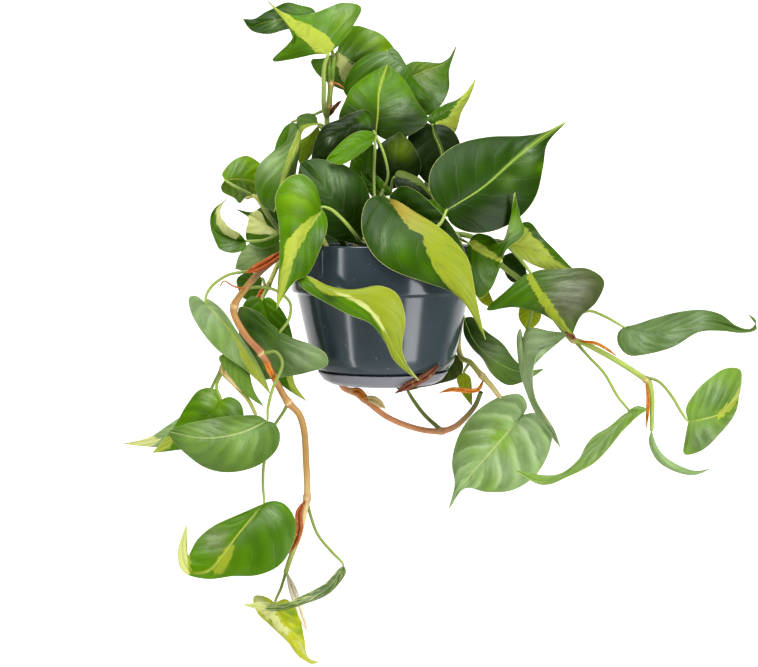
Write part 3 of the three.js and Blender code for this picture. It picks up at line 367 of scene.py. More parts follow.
# Stalks: thick where they leave the vine, thinner towards the blade, with a shallow channel
stalks = {
    "sides": 10, "step": 0.0022, "pieces": 60, "flare": 0.35, "flareFade": 9, "thinning": 0.25,
    "thinFrom": 0.75, "channel": 0.1, "green": "olive", "pale": "stalk", "leastPale": 0.35,
    "intoBlade": 0.0022,
}


def stalk(centres, radius):
    green, pale = tone(stalks["green"]), tone(stalks["pale"])

    def radiusAt(along, angle):
        flare = stalks["flare"] * math.exp(-along * stalks["flareFade"])
        flare -= stalks["thinning"] * smooth(stalks["thinFrom"], 1, along)
        channel = 1 - stalks["channel"] * max(0, math.cos(angle)) ** 4
        return radius * mm * (1 + flare) * channel

    def tintAt(along):
        return mixed(green, pale, stalks["leastPale"] + (1 - stalks["leastPale"]) * along)

    return tube(Route(centres, stalks["pieces"]), radiusAt, tintAt, stalks["sides"], stalks["step"])


# Vines: root in millimetres, then the route; tones run from root to tip; nodes are rings on the stem
vinePlans = {
    "crown_vine": {
        "root": (-32, 14), "radius": 2.2, "slot": "green_vine",
        "tones": ["olive", "leafGold", "stalk", "stalk"], "nodes": [(331, 84), (329, 106)],
        "route": [(346, 215, 16), (334, 165, 16), (327, 121, 12), (329, 106, 10), (331, 84, 8),
                  (333, 66, 7), (334, 56, 7)],
    },
    "middle_vine": {
        "root": (12, 0), "radius": 2.2, "slot": "green_vine", "tones": ["olive", "olive"],
        "route": [(398, 225, 4), (402, 185, 8), (404, 150, 14), (405, 118, 18), (407, 100, 18)],
    },
    "front_vine": {
        "root": (-12, -36), "radius": 2.2, "slot": "green_vine", "tones": ["olive", "olive"],
        "route": [(368, 235, -38), (375, 214, -36), (384, 188, -30)],
    },
    "back_vine": {
        "root": (20, 30), "radius": 2.2, "slot": "green_vine", "tones": ["olive", "olive"],
        "route": [(412, 220, 36), (428, 180, 34), (437, 150, 30), (436, 126, 26)],
    },
    "right_vine": {
        "root": (42, -8), "radius": 2.3, "slot": "green_vine",
        "tones": ["olive", "stalk", "stalk", "stalk", "stalk"],
        "nodes": [(486, 246), (573, 340), (646, 380)],
        "route": [(438, 236, -10), (455, 234, -13), (472, 237, -16), (486, 246, -18), (501, 265, -18),
                  (519, 279, -16), (546, 308, -16), (573, 340, -22), (581, 342, -24), (612, 358, -32),
                  (639, 375, -38), (648.6, 382.5, -40), (651.6, 395, -42), (652, 413, -44),
                  (651.6, 431, -46)],
    },
    "left_vine": {
        "root": (-30, -24), "radius": 2.7, "slot": "tan_vine",
        "tones": ["olive", "olive", "brown", "tan", "reddish", "tan", "tan", "straw", "stalk"],
        "nodes": [(234, 307), (262, 354), (288, 402), (307, 498)],
        "route": [(338, 236, -34), (322, 232, -44), (304, 236, -54), (284, 252, -60), (262, 270, -62),
                  (246, 288, -62), (235, 304, -62), (234, 313, -62), (246, 336, -62), (262, 354, -62),
                  (278, 385, -60), (288, 402, -58), (299, 414, -54), (304, 430, -50), (306, 459, -44),
                  (307, 498, -40), (304, 512, -40), (299, 535, -40), (290, 559, -40), (285, 575, -40)],
    },
    "back_left_vine": {
        "root": (-46, 12), "radius": 2, "slot": "green_vine",
        "tones": ["leafGold", "leafGold", "leafGold", "leafGold"], "nodes": [(222, 370), (268, 286)],
        "route": [(318, 234, 16), (297, 234, 18), (282, 256, 14), (268, 286, 2), (254, 312, -10),
                  (240, 338, -22), (227, 358, -28), (222, 370, -30), (234, 384, -33), (247.5, 399, -35),
                  (256.6, 416, -36)],
    },
    "upper_left_vine": {
        "root": (-52, -6), "radius": 1.9, "slot": "green_vine",
        "tones": ["oliveDark", "oliveDark", "olive", "leafGold"], "nodes": [(282, 234)],
        "route": [(318, 232, -8), (300, 230, -10), (284, 234, -10), (270, 218, -8), (254, 196, -8),
                  (245, 199, -8)],
    },
    "under_pot_vine": {
        "root": (4, 58), "radius": 2.6, "slot": "tan_vine",
        "tones": ["tan", "tan", "tan", "salmon", "salmon", "salmon", "olive"],
        "nodes": [(352, 392), (364, 399), (441, 431)],
        "route": [(385, 235, 66), (372, 236, 80), (352, 262, 88), (338, 320, 86), (336, 365, 80),
                  (343, 387, 72), (354, 392, 64), (364, 399, 56), (386, 416, 44), (403, 424, 38),
                  (424, 430, 32), (441, 431, 26), (454, 427, 20), (465, 418, 15), (475, 406, 10),
                  (481, 392, 4)],
    },
    "right_back_vine": {
        "root": (48, 34), "radius": 2.4, "slot": "tan_vine",
        "tones": ["olive", "leafGold", "straw", "leafGold", "straw"], "nodes": [(482, 376), (507, 405)],
        "route": [(440, 236, 46), (456, 237, 60), (464, 262, 66), (462, 310, 54), (458, 345, 34),
                  (462, 358, 24), (470, 362, 14), (480, 373.5, 4), (491.5, 386, 0), (499, 396, -2),
                  (507, 405, -4), (516, 409, -4)],
    },
    "back_trailing_vine": {
        "root": (-24, 42), "radius": 2.1, "slot": "tan_vine", "tones": ["olive", "tan", "olive"],
        "route": [(358, 225, 56), (352, 205, 66), (350, 195, 78), (348, 212, 92), (344, 245, 98),
                  (340, 290, 98), (345, 330, 92)],
    },
    "back_right_leafy_vine": {
        "root": (26, 52), "radius": 2.1, "slot": "tan_vine", "tones": ["olive", "tan", "olive"],
        "route": [(414, 225, 64), (420, 200, 76), (424, 192, 88), (428, 212, 98), (430, 250, 100),
                  (428, 300, 96)],
    },
}

# Leaves: each rib runs from the stalk's end to the tip, with left and right edges that carry a lift
# beyond the rib, left out where it is 0; lean is the depth gained per pixel right and per pixel down.
# ribBand is the pale band's half width in millimetres from base to tip; lime and cream are outlines of
# patches; marble is how far in millimetres streaks of lime stray from them; shades are (tone, x, y,
# reach) of soft patches, some the leaf's own tones and the deep ones painted shade where leaves lie under
# others, and shine is (x, y, reach) of painted sheen, the places where light is painted on the blade.
leafPlans = {
    "top_leaf": {
        "vine": "crown_vine", "slot": "lime_leaf", "tone": "bright", "accent": "yellowLime", "mottle": 0.3,
        "stalkRadius": 1.9, "lean": (0, -0.3),
        "stalk": [(328, 118), (324, 108, 4), (323.7, 90, 2), (324.4, 66, 0)],
        "rib": [(328, 54, -2), (300, 31, -14), (280, 14, -20), (267, 0, -22)],
        "left": [(316, 54, 2), (292, 59, 8), (272, 61, 12), (284, 49, 12), (294, 45, 6), (289, 28, 3),
                 (277, 12, 1)],
        "right": [(343, 41, 3), (353, 26, 8), (361, 7, 14), (343, 3, 14), (320, 11, 12), (303, 17, 8),
                  (284, 14, 3)],
        "lime": [[(267, 0), (280, 10), (297, 20), (310, 25), (326, 34), (335, 46), (330, 54), (316, 53),
                  (310, 46), (297, 35), (285, 22)]],
        "shades": [("fresh", 345, 20, 12), ("mid", 300, 52, 14), ("greyDark", 276, 58, 8)],
        "shine": [(344, 14, 14), (318, 36, 10)],
    },
    "top_back_leaf": {
        "vine": "crown_vine", "slot": "dark_leaf", "tone": "dark", "lean": (-0.2, -0.2),
        "ribBand": [0.5, 0.35], "stalk": [(334, 57), (328, 38, 14)],
        "rib": [(318, 18, 14), (290, 18, 10), (262, 23, 6), (249, 27, 4), (243, 19, 4)],
        "left": [(308, 29, -4), (291, 29, -6), (281, 31, -6), (266, 34, -4), (252, 31, -1)],
        "right": [(313, 9, 2), (299, 5, 3), (286, 3, 3), (268, 11, 2), (254, 19)],
        "shades": [("bright", 300, 10, 14), ("mid", 274, 26, 8)], "shine": [(274, 22, 5)],
    },
    "quilted_leaf": {
        "vine": "crown_vine", "slot": "green_leaf", "tone": "bright", "accent": "cream", "mottle": 1,
        "quilt": 0.7, "lean": (0.2, 0), "ribBand": [0.5, 0.35], "stalk": [(333, 68), (337, 60, 13)],
        "rib": [(337, 52, 17), (352, 62, 24), (375, 73, 30), (398, 82, 32)],
        "left": [(324, 58, 4), (311, 60, 8), (316, 72, 8), (330, 84, 4), (350, 92), (380, 94)],
        "right": [(342, 36, 2), (354, 26, 4), (369, 29, 4), (382, 35, 3), (394, 48, 2), (402, 64)],
        "lime": [[(332, 52), (345, 56), (356, 66), (350, 84), (338, 76)]],
        "shades": [("fresh", 378, 42, 18), ("bright", 342, 72, 14)], "shine": [(345, 66, 14), (372, 34, 9)],
    },
    "dark_shoulder_leaf": {
        "vine": "middle_vine", "slot": "dark_leaf", "tone": "mid", "stalk": [(407, 101), (398, 78, 22)],
        "rib": [(387, 51, 18), (402, 67, 13), (416, 82, 13), (430, 98, 17)],
        "left": [(374, 53, 2), (362, 58, 3), (350, 71, 4), (344, 92, 6), (366, 106, 4), (402, 108, 2)],
        "right": [(392, 48, 3), (398, 52, 4), (405, 63, 4), (413, 77, 2)], "shades": [("mid", 376, 68, 14)],
        "shine": [(388, 58, 12), (398, 66, 7)],
    },
    "centre_leaf": {
        "vine": "middle_vine", "slot": "green_leaf", "tone": "bright", "lean": (0, -0.25),
        "ribBand": [0.9, 0.9, 1, 1.2, 2.2, 0.8], "stalk": [(402, 192), (388, 170, 0)],
        "rib": [(376, 134, -12), (378, 112, -18), (379, 92, -20), (387, 65, -14)],
        "left": [(366, 138, 4), (350, 134, 6), (339, 119, 8), (345, 101, 6), (352, 88, 4), (366, 76, 2)],
        "right": [(388, 140, 2), (408, 136, 5), (428, 120, 8), (417, 102, 6), (406, 82, 4), (394, 70, 2)],
        "shades": [("bright", 372, 88, 16), ("deep", 366, 124, 22), ("deep", 412, 120, 20),
                   ("deep", 392, 140, 34), ("deep", 345, 118, 12)],
        "shine": [(398, 106, 12)],
    },
    "upper_right_leaf": {
        "vine": "middle_vine", "slot": "dark_leaf", "tone": "mid", "lean": (0.15, 0),
        "ribBand": [0.5, 0.35], "stalk": [(406, 110), (400, 96, 30)],
        "rib": [(402, 82, 27), (424, 71, 23), (446, 62, 21), (457, 45, 22)],
        "left": [(402, 70, 2), (412, 62, 3), (425, 62, 3), (440, 63, 2), (449, 58)],
        "right": [(404, 98, -1), (414, 112, -3), (429, 115, -3), (442, 104, -3), (449, 88, -2), (449, 70)],
        "shades": [("olive", 425, 72, 14), ("deep", 410, 104, 12)], "shine": [(425, 84, 13), (440, 100, 8)],
    },
    "lime_spear_leaf": {
        "vine": "back_vine", "slot": "lime_leaf", "tone": "mid", "accent": "yellowLime", "mottle": 0.6,
        "lean": (0.3, 0), "stalk": [(436, 132)],
        "rib": [(432, 125, 16), (446, 113, 12), (460, 100, 12), (476, 79, 16)],
        "left": [(427, 119, 4), (431, 114, 8), (444, 105, 10), (458, 99, 6), (469, 89, 2)],
        "right": [(438, 134), (447, 138, 4), (455, 132, 6), (461, 113, 4), (469, 98, 2)],
        "lime": [[(436, 122), (446, 118), (455, 106), (464, 92), (476, 79), (469, 98), (461, 113),
                  (455, 133), (447, 139), (437, 135)]],
    },
    "shadow_leaf": {
        "vine": "back_vine", "slot": "dark_leaf", "tone": "deep", "accent": "olive", "rim": 0.7,
        "veins": 0.1, "lean": (0.15, 0), "ribBand": [1.2, 2.2, 2.2, 1.2, 0.6],
        "stalk": [(437, 145), (434, 130, 14)],
        "rib": [(432, 125, 5), (435, 136, 0), (441, 150, -4), (444, 192, -10)],
        "left": [(418, 121, 1), (409, 134, 2), (406.5, 149, 3), (411, 163, 2), (429, 185)],
        "right": [(443, 125, 1), (453, 131, 2), (460, 143, 3), (462, 168, 2)],
    },
    "big_right_leaf": {
        "vine": "front_vine", "slot": "dark_leaf", "tone": "dark", "accent": "fresh", "rim": 0.8,
        "stalkRadius": 1.5, "lean": (0.15, -0.2), "ribBand": [0.8, 0.9, 1, 1.2, 1.5, 1.9, 2.4, 2.6, 1.4],
        "stalk": [(378, 207), (396, 224, -60), (424, 233, -76), (440, 224, -74)],
        "rib": [(447, 210, -66), (482, 188, -68), (515.5, 158.5, -64), (544, 136, -58), (567.5, 121, -52)],
        "left": [(437, 203, 2), (430, 191, 4), (430, 173, 5), (439, 158, 6), (459, 144, 7), (487, 137, 6),
                 (523, 136, 4), (545, 132, 1)],
        "right": [(449, 221, 2), (459, 229, 4), (475, 233, 5), (497, 230, 6), (521, 216, 6), (536, 196, 5),
                  (543, 166, 4), (547, 144, 2)],
        "shades": [("dark", 470, 160, 26), ("deep", 470, 222, 26), ("deep", 505, 218, 24),
                   ("greyDark", 526, 164, 10), ("greyDark", 508, 182, 8), ("bright", 543, 168, 6)],
        "shine": [(528, 152, 8)],
    },
    "hidden_point_leaf": {
        "vine": "middle_vine", "slot": "dark_leaf", "tone": "deep", "stalk": [(400, 206), (401, 194, -4)],
        "rib": [(399, 187, -13), (397, 160, -17), (400, 132, -15)],
        "left": [(385, 189), (375, 170, 2), (379, 146, 1)],
        "right": [(412, 184), (421, 166, 2), (413, 146, 1)], "shades": [("olive", 402, 148, 12)],
    },
    "lime_edged_leaf": {
        "vine": "middle_vine", "slot": "green_leaf", "tone": "deep", "accent": "olive",
        "stalk": [(399, 220), (391, 200, -12)],
        "rib": [(394, 177, -24), (408, 181, -27), (420, 188, -29), (434, 200, -30)],
        "left": [(398, 171, 6), (408, 173, 8), (420, 179, 6)],
        "right": [(396, 186, -1), (406, 192, -1), (420, 199, -1)],
        "lime": [[(393, 170), (401, 170), (412, 172), (423, 179), (434, 200), (421, 187), (408, 180),
                  (396, 177)]],
    },
    "under_fold_leaf": {
        "vine": "front_vine", "slot": "dark_leaf", "tone": "dark", "rim": 0.5,
        "stalk": [(379, 205), (386, 208, -38)],
        "rib": [(396, 202, -42), (420, 220, -58), (446, 242, -72), (472, 268, -72)],
        "left": [(390, 197, 2), (397, 188.5, 4), (405, 186, 5), (418, 192, 6), (434, 206, 6),
                 (453, 228, 4)],
        "right": [(398, 213), (414, 236, -2), (440, 258, -2)], "shades": [("deep", 440, 230, 18)],
    },
    "olive_point_leaf": {
        "vine": "front_vine", "slot": "green_leaf", "tone": "mid", "stalk": [(380, 200)],
        "rib": [(385, 196, -26), (374, 186, -24), (361, 171, -20)],
        "left": [(378, 202, 2), (368, 191, 2), (362, 180)],
        "right": [(393, 194, -2), (384, 182, -2), (374, 174)], "shades": [("mid", 368, 178, 8)],
    },
    "small_light_leaf": {
        "vine": "front_vine", "slot": "green_leaf", "tone": "bright", "rim": 0.4, "stalkRadius": 1.1,
        "lean": (0.15, 0), "stalk": [(384, 189), (388, 176, -35), (384, 154, -38)],
        "rib": [(376, 137, -34), (362, 143, -40), (345, 152, -42), (326, 160, -38)],
        "left": [(374, 133, 2), (363, 131, 4), (352, 134, 6), (340, 144, 6), (331, 153, 3)],
        "right": [(370, 146, -2), (358, 155, -3), (344, 164, -3), (332, 163, -1)],
        "shades": [("bright", 352, 142, 9), ("bright", 338, 154, 7)],
    },
    "crescent_leaf": {
        "vine": "front_vine", "slot": "dark_leaf", "tone": "deep", "lean": (0.1, 0),
        "stalk": [(376, 212), (374, 180, -28)],
        "rib": [(374, 131, -24), (352, 128, -32), (330, 138, -32), (311, 160, -26)],
        "left": [(374, 118, 3), (366, 110, 5), (352, 113, 6), (338, 120, 6), (324, 126, 5), (315, 142, 2)],
        "right": [(366, 139), (350, 150, 2), (330, 162, 2)],
        "shades": [("deep", 350, 140, 16), ("mid", 366, 120, 8)], "shine": [(330, 140, 4)],
    },
    "dark_front_leaf": {
        "vine": "front_vine", "slot": "dark_leaf", "tone": "dark", "lean": (0, -0.15),
        "stalk": [(374, 219), (368, 229, -38)],
        "rib": [(363, 239, -44), (346, 214, -54), (324, 188, -54), (300, 163, -48)],
        "left": [(361, 245, 2), (350, 242, 3), (337, 239.5, 4), (322, 231, 5), (306, 206, 4),
                 (298, 182, 2)],
        "right": [(369, 226, 3), (371, 204, 5), (362, 179, 7), (348, 167, 6), (330, 161, 4), (312, 159, 2)],
        "shades": [("deep", 350, 215, 24), ("mid", 330, 175, 14)], "shine": [(335, 178, 12)],
    },
    "big_front_leaf": {
        "vine": "front_vine", "slot": "dark_leaf", "tone": "dark", "mottle": 0.6, "rim": 1,
        "stalkRadius": 1.4, "tan": (396, 206, 26), "stalk": [(381, 199)],
        "rib": [(388, 199, -54), (404, 219, -76), (430, 256, -92), (460, 295, -92), (485.4, 339.6, -80)],
        "left": [(378.6, 196, 2), (368, 200, 4), (362, 215, 6), (363, 235, 6), (375, 257, 6), (392, 270, 5),
                 (425, 282, 4), (452, 292, 3), (472, 311, 1)],
        "right": [(395, 200, 2), (413, 211, 4), (433, 223, 6), (452, 239, 8), (468, 260, 8), (475, 292, 4),
                  (480, 315, 1)],
        "lime": [[(388, 199), (394, 208), (402, 220), (410, 231), (422, 235), (425, 246), (431.5, 264),
                  (436, 272), (445, 283), (462, 303), (478, 330), (486, 342), (484, 315), (478, 292),
                  (470, 258), (453, 237), (433, 221), (413, 209), (396, 199)]],
        "shades": [("mid", 400, 250, 22), ("mid", 430, 275, 14)], "shine": [(385, 240, 10)],
    },
    "left_front_leaf": {
        "vine": "front_vine", "slot": "green_leaf", "tone": "bright", "accent": "yellowLime", "rim": 0.9,
        "stalkRadius": 1.5, "lean": (0.15, 0),
        "stalk": [(367, 243), (360, 242, -56), (354, 233, -64), (342, 219, -66), (330, 209, -68)],
        "rib": [(321, 207, -68), (304, 239, -82), (293, 262, -86), (284, 285, -86), (276.5, 309, -82)],
        "left": [(319, 196, 2), (313, 182, 3), (301, 174, 4), (286, 179, 5), (275, 197, 5), (279, 222, 4),
                 (280, 248, 3), (278.5, 275, 1)],
        "right": [(326, 217, 1), (327, 229, 3), (319, 251, 6), (308, 274, 8), (295, 281, 6), (285, 294, 2)],
        "lime": [[(322, 211), (315, 222), (303.5, 240), (295, 256), (289, 277), (279, 306), (276, 306),
                  (279, 282), (283, 261), (285, 244.5), (291, 235), (299, 226), (311, 216)]],
        "shades": [("fresh", 296, 200, 14), ("mid", 318, 240, 12), ("mid", 300, 265, 10)],
        "shine": [(300, 186, 9), (318, 236, 7)],
    },
    "pot_front_leaf": {
        "vine": "left_vine", "slot": "lime_leaf", "tone": "bright", "rim": 1,
        "stalk": [(302, 237), (294, 256, -74)],
        "rib": [(297, 277, -78), (318, 286, -88), (342, 298, -94), (366, 306, -94), (384, 328, -92),
                (400, 355, -86), (419, 381, -76)],
        "left": [(302, 287, 1), (329, 304, 2), (350, 315, 3), (370, 323, 3), (384, 340, 2), (395, 361, 1)],
        "right": [(307, 276, 2), (329, 286, 4), (353, 290, 5), (380, 286, 6), (397, 294, 6), (405, 318, 5),
                  (402, 350, 3), (410, 370, 1)],
        "lime": [[(304, 274), (318, 289), (330, 296), (345, 298), (360, 304), (372, 315), (380, 328),
                  (386, 345), (393, 362), (405, 377), (421, 383), (411, 369), (405, 350), (408, 318),
                  (398, 292), (380, 284), (353, 288), (329, 284)]],
        "cream": [[(330, 290), (350, 295), (366, 303), (380, 318), (387, 334), (382, 330), (370, 313),
                   (352, 300), (336, 295)]],
        "shades": [("dark", 330, 296, 8)], "shine": [(384, 300, 9)],
    },
    "sheen_leaf": {
        "vine": "crown_vine", "slot": "pale_leaf", "tone": "greyDark", "accent": "yellowLime",
        "lean": (0.2, -0.1), "ribBand": [0.8, 2, 3.6, 4, 3, 1.2, 0.6], "stalk": [(328, 132), (322, 125, 6)],
        "rib": [(318, 124, 4), (304, 129, -4), (296, 146, -12), (289, 163, -16), (281, 184, -14),
                (274, 212, -8)],
        "left": [(304, 127, 4), (292, 123, 6), (287, 140, 4), (271, 153, 6), (258, 167, 8), (255, 185, 6),
                 (262, 205, 3)],
        "right": [(316, 116, 4), (307, 113, 8), (297, 118, 10), (301, 135, 6), (300, 150, 5), (297, 165, 5),
                  (292, 188, 3)],
        "shades": [("grey", 275, 165, 14), ("mid", 268, 190, 12)], "shine": [(272, 165, 14)],
    },
    "left_upright_leaf": {
        "vine": "upper_left_vine", "slot": "green_leaf", "tone": "fresh", "lean": (0.2, 0),
        "ribBand": [0.9, 0.9, 0.9, 0.6], "stalk": [(253, 196), (246, 192, -10), (236, 187, -12)],
        "rib": [(225, 180, -8), (240, 179, -4), (255, 182, 0), (268, 188, 4)],
        "left": [(222, 175, 4), (226, 168, 6), (234, 160, 8), (247, 156, 8), (261, 165, 4)],
        "right": [(221, 186, 2), (223, 192, 6), (234, 198, 8), (240, 203, 10), (246, 197, 8),
                  (258, 194, 4)],
        "shades": [("bright", 236, 172, 14)], "shine": [(240, 190, 9), (236, 166, 7)],
    },
    "curled_leaf": {
        "vine": "upper_left_vine", "slot": "green_leaf", "tone": "bright", "accent": "cream", "mottle": 0.4,
        "stalk": [(281, 233), (264, 240, -14)],
        "rib": [(246, 241, -16), (230, 238, -16), (215, 230, -12), (213, 215, -10), (227, 198, -12)],
        "left": [(245, 249, -4), (234, 253, -6), (221, 250, -6), (216, 243, -4), (211, 228), (212, 212)],
        "right": [(239, 233, -8), (230, 228, -10), (222, 219, -10), (221, 207, -5)],
        "lime": [[(227, 196), (221, 207), (222, 219), (230, 228), (241, 233), (236, 240), (224, 234),
                  (217, 224), (216, 210)]],
        "shades": [("greyDark", 232, 246, 12)], "shine": [(228, 246, 8)],
    },
    "cream_band_leaf": {
        "vine": "upper_left_vine", "slot": "lime_leaf", "tone": "mid", "accent": "cream", "mottle": 0.4,
        "lean": (-0.3, 0), "stalk": [(286, 233)],
        "rib": [(281, 233, 2), (268, 226, 0), (253, 217, -2), (236, 209, -2)],
        "left": [(283, 220, 2), (277, 208, 4), (264, 206, 4), (252, 212, 1)],
        "right": [(278, 243, -2), (262, 248, -3), (247, 240, -3), (246, 230, -2), (249, 219, -1)],
        "lime": [[(240, 232), (246, 218), (255, 209), (262, 214), (267, 224), (282, 234), (266, 235)]],
        "shades": [("dark", 272, 212, 12)],
    },
    "grey_green_leaf": {
        "vine": "upper_left_vine", "slot": "pale_leaf", "tone": "greySheen", "lean": (-0.2, 0),
        "stalk": [(288, 232), (288, 240, 6)],
        "rib": [(282, 243, 12), (266, 252, 10), (250, 262, 10), (235, 269, 12)],
        "left": [(272, 238, 2), (258, 239, 3), (247, 245, 3), (239, 256, 1)],
        "right": [(282, 253), (266, 264, 1), (249, 271, 1)], "shades": [("mid", 270, 248, 12)],
        "shine": [(252, 252, 12)],
    },
    "left_long_leaf": {
        "vine": "left_vine", "slot": "pale_leaf", "tone": "pale", "accent": "yellowLime", "mottle": 0.6,
        "rim": 0.5, "lean": (0.25, -0.05), "ribBand": [0.8, 0.9, 1, 1.3, 2.2, 3.4, 3.6, 2.2, 0.8],
        "stalk": [(262, 270), (243, 272, -58), (228, 275, -60), (213, 285, -62), (206.5, 295, -62)],
        "rib": [(205.7, 304, -62), (219.5, 318, -56), (234, 336, -54), (252, 363, -54), (271, 395, -54)],
        "left": [(197, 296, 2), (189.5, 297, 4), (190, 309, 5), (200, 329, 6), (219, 351, 6), (243, 368, 4),
                 (259, 382, 1)],
        "right": [(207, 299, 2), (213, 302, 4), (224, 312, 6), (236, 330, 6), (251, 352, 4), (263, 374, 2)],
        "lime": [[(229, 330), (238, 339), (250, 357), (262, 376), (271, 396), (262, 387), (249, 370),
                  (240, 356), (236, 342)]],
        "shades": [("grey", 222, 345, 22), ("grey", 245, 370, 14)],
        "shine": [(212, 318, 14), (240, 350, 14)],
    },
    "left_round_leaf": {
        "vine": "left_vine", "slot": "pale_leaf", "tone": "greyDark", "rim": 0.9, "lean": (-0.15, 0),
        "stalk": [(246, 288), (262, 287, -62), (277, 291, -60), (290, 303, -58), (289, 319, -56)],
        "rib": [(280, 332, -52), (273, 348, -52), (267, 364, -46), (262, 380, -38)],
        "left": [(270, 323, 2), (256, 311, 4), (240, 307, 6), (238, 326, 6), (250, 360, 4)],
        "right": [(292, 338, 1), (312, 345, 3), (326, 354, 4), (327, 365, 5), (308, 372, 4), (284, 377, 2)],
        "shades": [("dark", 256, 328, 18), ("sage", 314, 354, 18)], "shine": [(300, 352, 14)],
    },
    "left_dark_leaf": {
        "vine": "back_left_vine", "slot": "dark_leaf", "tone": "mid", "accent": "yellowLime", "mottle": 0.4,
        "stalk": [(270, 282)],
        "rib": [(262, 300, -22), (273, 333, -28), (284, 370, -30), (307, 402, -30)],
        "left": [(254, 296, 2), (244, 303, 4), (244, 322, 6), (256, 352, 4), (277, 381, 1)],
        "right": [(269, 297, 1), (279, 306, 3), (288, 321, 4), (294, 348, 4), (294, 382, 2)],
        "lime": [[(293, 350), (297, 385), (309, 404), (291, 390), (284, 372)]],
        "shades": [("bright", 270, 302, 10)],
    },
    "heart_leaf": {
        "vine": "back_left_vine", "slot": "green_leaf", "tone": "bright", "accent": "yellowLime",
        "mottle": 0.4, "rim": 0.4, "quilt": 0.5, "lean": (-0.2, -0.2),
        "stalk": [(222, 371), (216.5, 387, -34)],
        "rib": [(221, 400, -38), (206, 418, -42), (182, 436, -40), (152, 453, -36)],
        "left": [(218, 392, 2), (211, 388, 3), (198, 391, 5), (187, 405, 6), (176, 424, 5), (164, 440, 1)],
        "right": [(230, 397, 2), (241, 404, 4), (243, 420, 5), (224, 440, 5), (190, 448, 3)],
        "lime": [[(150, 455), (164, 437), (176, 436), (170, 448)]],
        "shades": [("fresh", 214, 402, 12), ("mid", 226, 430, 14), ("mid", 205, 412, 8)],
        "shine": [(208, 398, 8), (235, 410, 7)],
    },
    "tailed_leaf": {
        "vine": "back_left_vine", "slot": "green_leaf", "tone": "pale", "accent": "cream", "mottle": 0.6,
        "lean": (-0.2, 0), "stalk": [(227, 359), (210, 392, -20)],
        "rib": [(202, 420, -22), (180, 430, -24), (156, 439, -24), (123, 444, -22)],
        "left": [(198, 411, 2), (186, 414, 3), (170, 424, 3), (150, 437, 1)],
        "right": [(204, 432), (186, 443, 1), (160, 447, 1)],
        "lime": [[(123, 446), (150, 434), (162, 440), (150, 448)]],
    },
    "large_veined_leaf": {
        "vine": "left_vine", "slot": "pale_leaf", "tone": "greyDark", "accent": "sheen", "rim": 0.5,
        "quilt": 0.5, "lean": (-0.1, -0.2), "ribBand": [0.8, 0.8, 0.6, 0.4],
        "stalk": [(262, 354), (276, 352, -68), (282.5, 363, -68), (273, 388, -68), (268, 408, -66)],
        "rib": [(267, 421.4, -64), (240, 433, -68), (205, 438, -66), (167.5, 431.3, -60)],
        "left": [(259, 416, 4), (235, 416, 8), (212, 419, 8), (188, 424, 4)],
        "right": [(274, 423, 1), (280, 434, 2), (277, 449, 3), (261, 464, 4), (242, 471, 4), (222, 472, 4),
                  (204, 467, 4), (185, 453, 2), (173, 441, 1)],
        "shades": [("grey", 240, 440, 26), ("grey", 196, 432, 18)],
        "shine": [(210, 428, 14), (245, 440, 12)],
    },
    "low_left_leaf": {
        "vine": "left_vine", "slot": "green_leaf", "tone": "bright", "rim": 0.5, "quilt": 0.4,
        "lean": (0, -0.25), "ribBand": [0.9, 1, 1.1, 1.6, 1.8, 1],
        "stalk": [(287, 403), (284, 411, -56), (274, 427, -56), (264, 464, -56), (263, 486, -56)],
        "rib": [(264, 503.5, -56), (250, 520, -62), (236, 537, -64), (223, 555, -64), (208, 571, -62),
                (190, 572, -62), (182, 550, -64), (186.6, 523, -64)],
        "left": [(256, 507, 2), (233, 517, 4), (212, 527, 5), (197, 540, 4), (188, 556, 1), (187, 545, 1)],
        "right": [(274, 501, 2), (286, 505, 4), (296, 523, 6), (292, 546, 6), (280, 565, 5), (258, 575, 4),
                  (233, 576, 3), (207, 579, 1), (183, 572), (178, 553)],
        "lime": [[(213, 574), (216, 560), (226, 548), (236, 545), (230, 560), (222, 574)],
                 [(176, 574), (176, 550), (187, 521), (189, 546), (192, 574)]],
        "cream": [[(176, 574), (176, 550), (187, 521), (186, 546), (190, 576)]],
        "shades": [("mid", 262, 550, 26), ("olive", 216, 540, 14), ("mid", 282, 530, 14)],
        "shine": [(214, 540, 12), (272, 516, 9)],
    },
    "low_edge_leaf": {
        "vine": "left_vine", "slot": "green_leaf", "tone": "greyDark", "accent": "cream", "mottle": 0.9,
        "marble": 0.7, "ribBand": [0.6, 0.9, 0.7],
        "stalk": [(307, 500), (311, 517, -38), (318, 535, -36), (331, 551, -36)],
        "rib": [(343.5, 565, -40), (332, 584, -50), (313, 597, -60), (286, 606, -68), (262, 607, -70),
                (242, 605, -70)],
        "left": [(339, 569, -8), (325, 583, -14), (303, 596, -14), (280, 604, -10), (260, 602, -2)],
        "right": [(346, 572, 6), (334, 589, 12), (316, 600, 12), (294, 607, 8), (268, 611, 2)],
        "lime": [[(240, 607), (243, 603), (262, 601), (268, 606), (262, 611)]],
        "shades": [("mid", 300, 600, 14)], "shine": [(310, 596, 12)],
    },
    "end_leaf": {
        "vine": "left_vine", "slot": "lime_leaf", "tone": "leafGold", "accent": "cream", "mottle": 1,
        "marble": 1.6, "lean": (0, 0.2), "stalk": [(286, 571), (281, 588, -46)],
        "rib": [(275, 603, -42), (284, 622, -46), (297, 646, -48), (309, 663, -48), (319, 662, -48)],
        "left": [(266, 597, 2), (254, 596, 4), (257, 612, 5), (272, 627, 5), (287, 641, 3), (301, 658, 1)],
        "right": [(286, 599, 4), (298, 614, 8), (304, 637, 6), (308, 657, 2)],
        "lime": [[(262, 596), (253, 596), (258, 611), (272, 624), (286, 636), (290, 632), (280, 618),
                  (270, 606)],
                 [(300, 640), (306, 652), (319, 665), (311, 661), (301, 650), (296, 642)]],
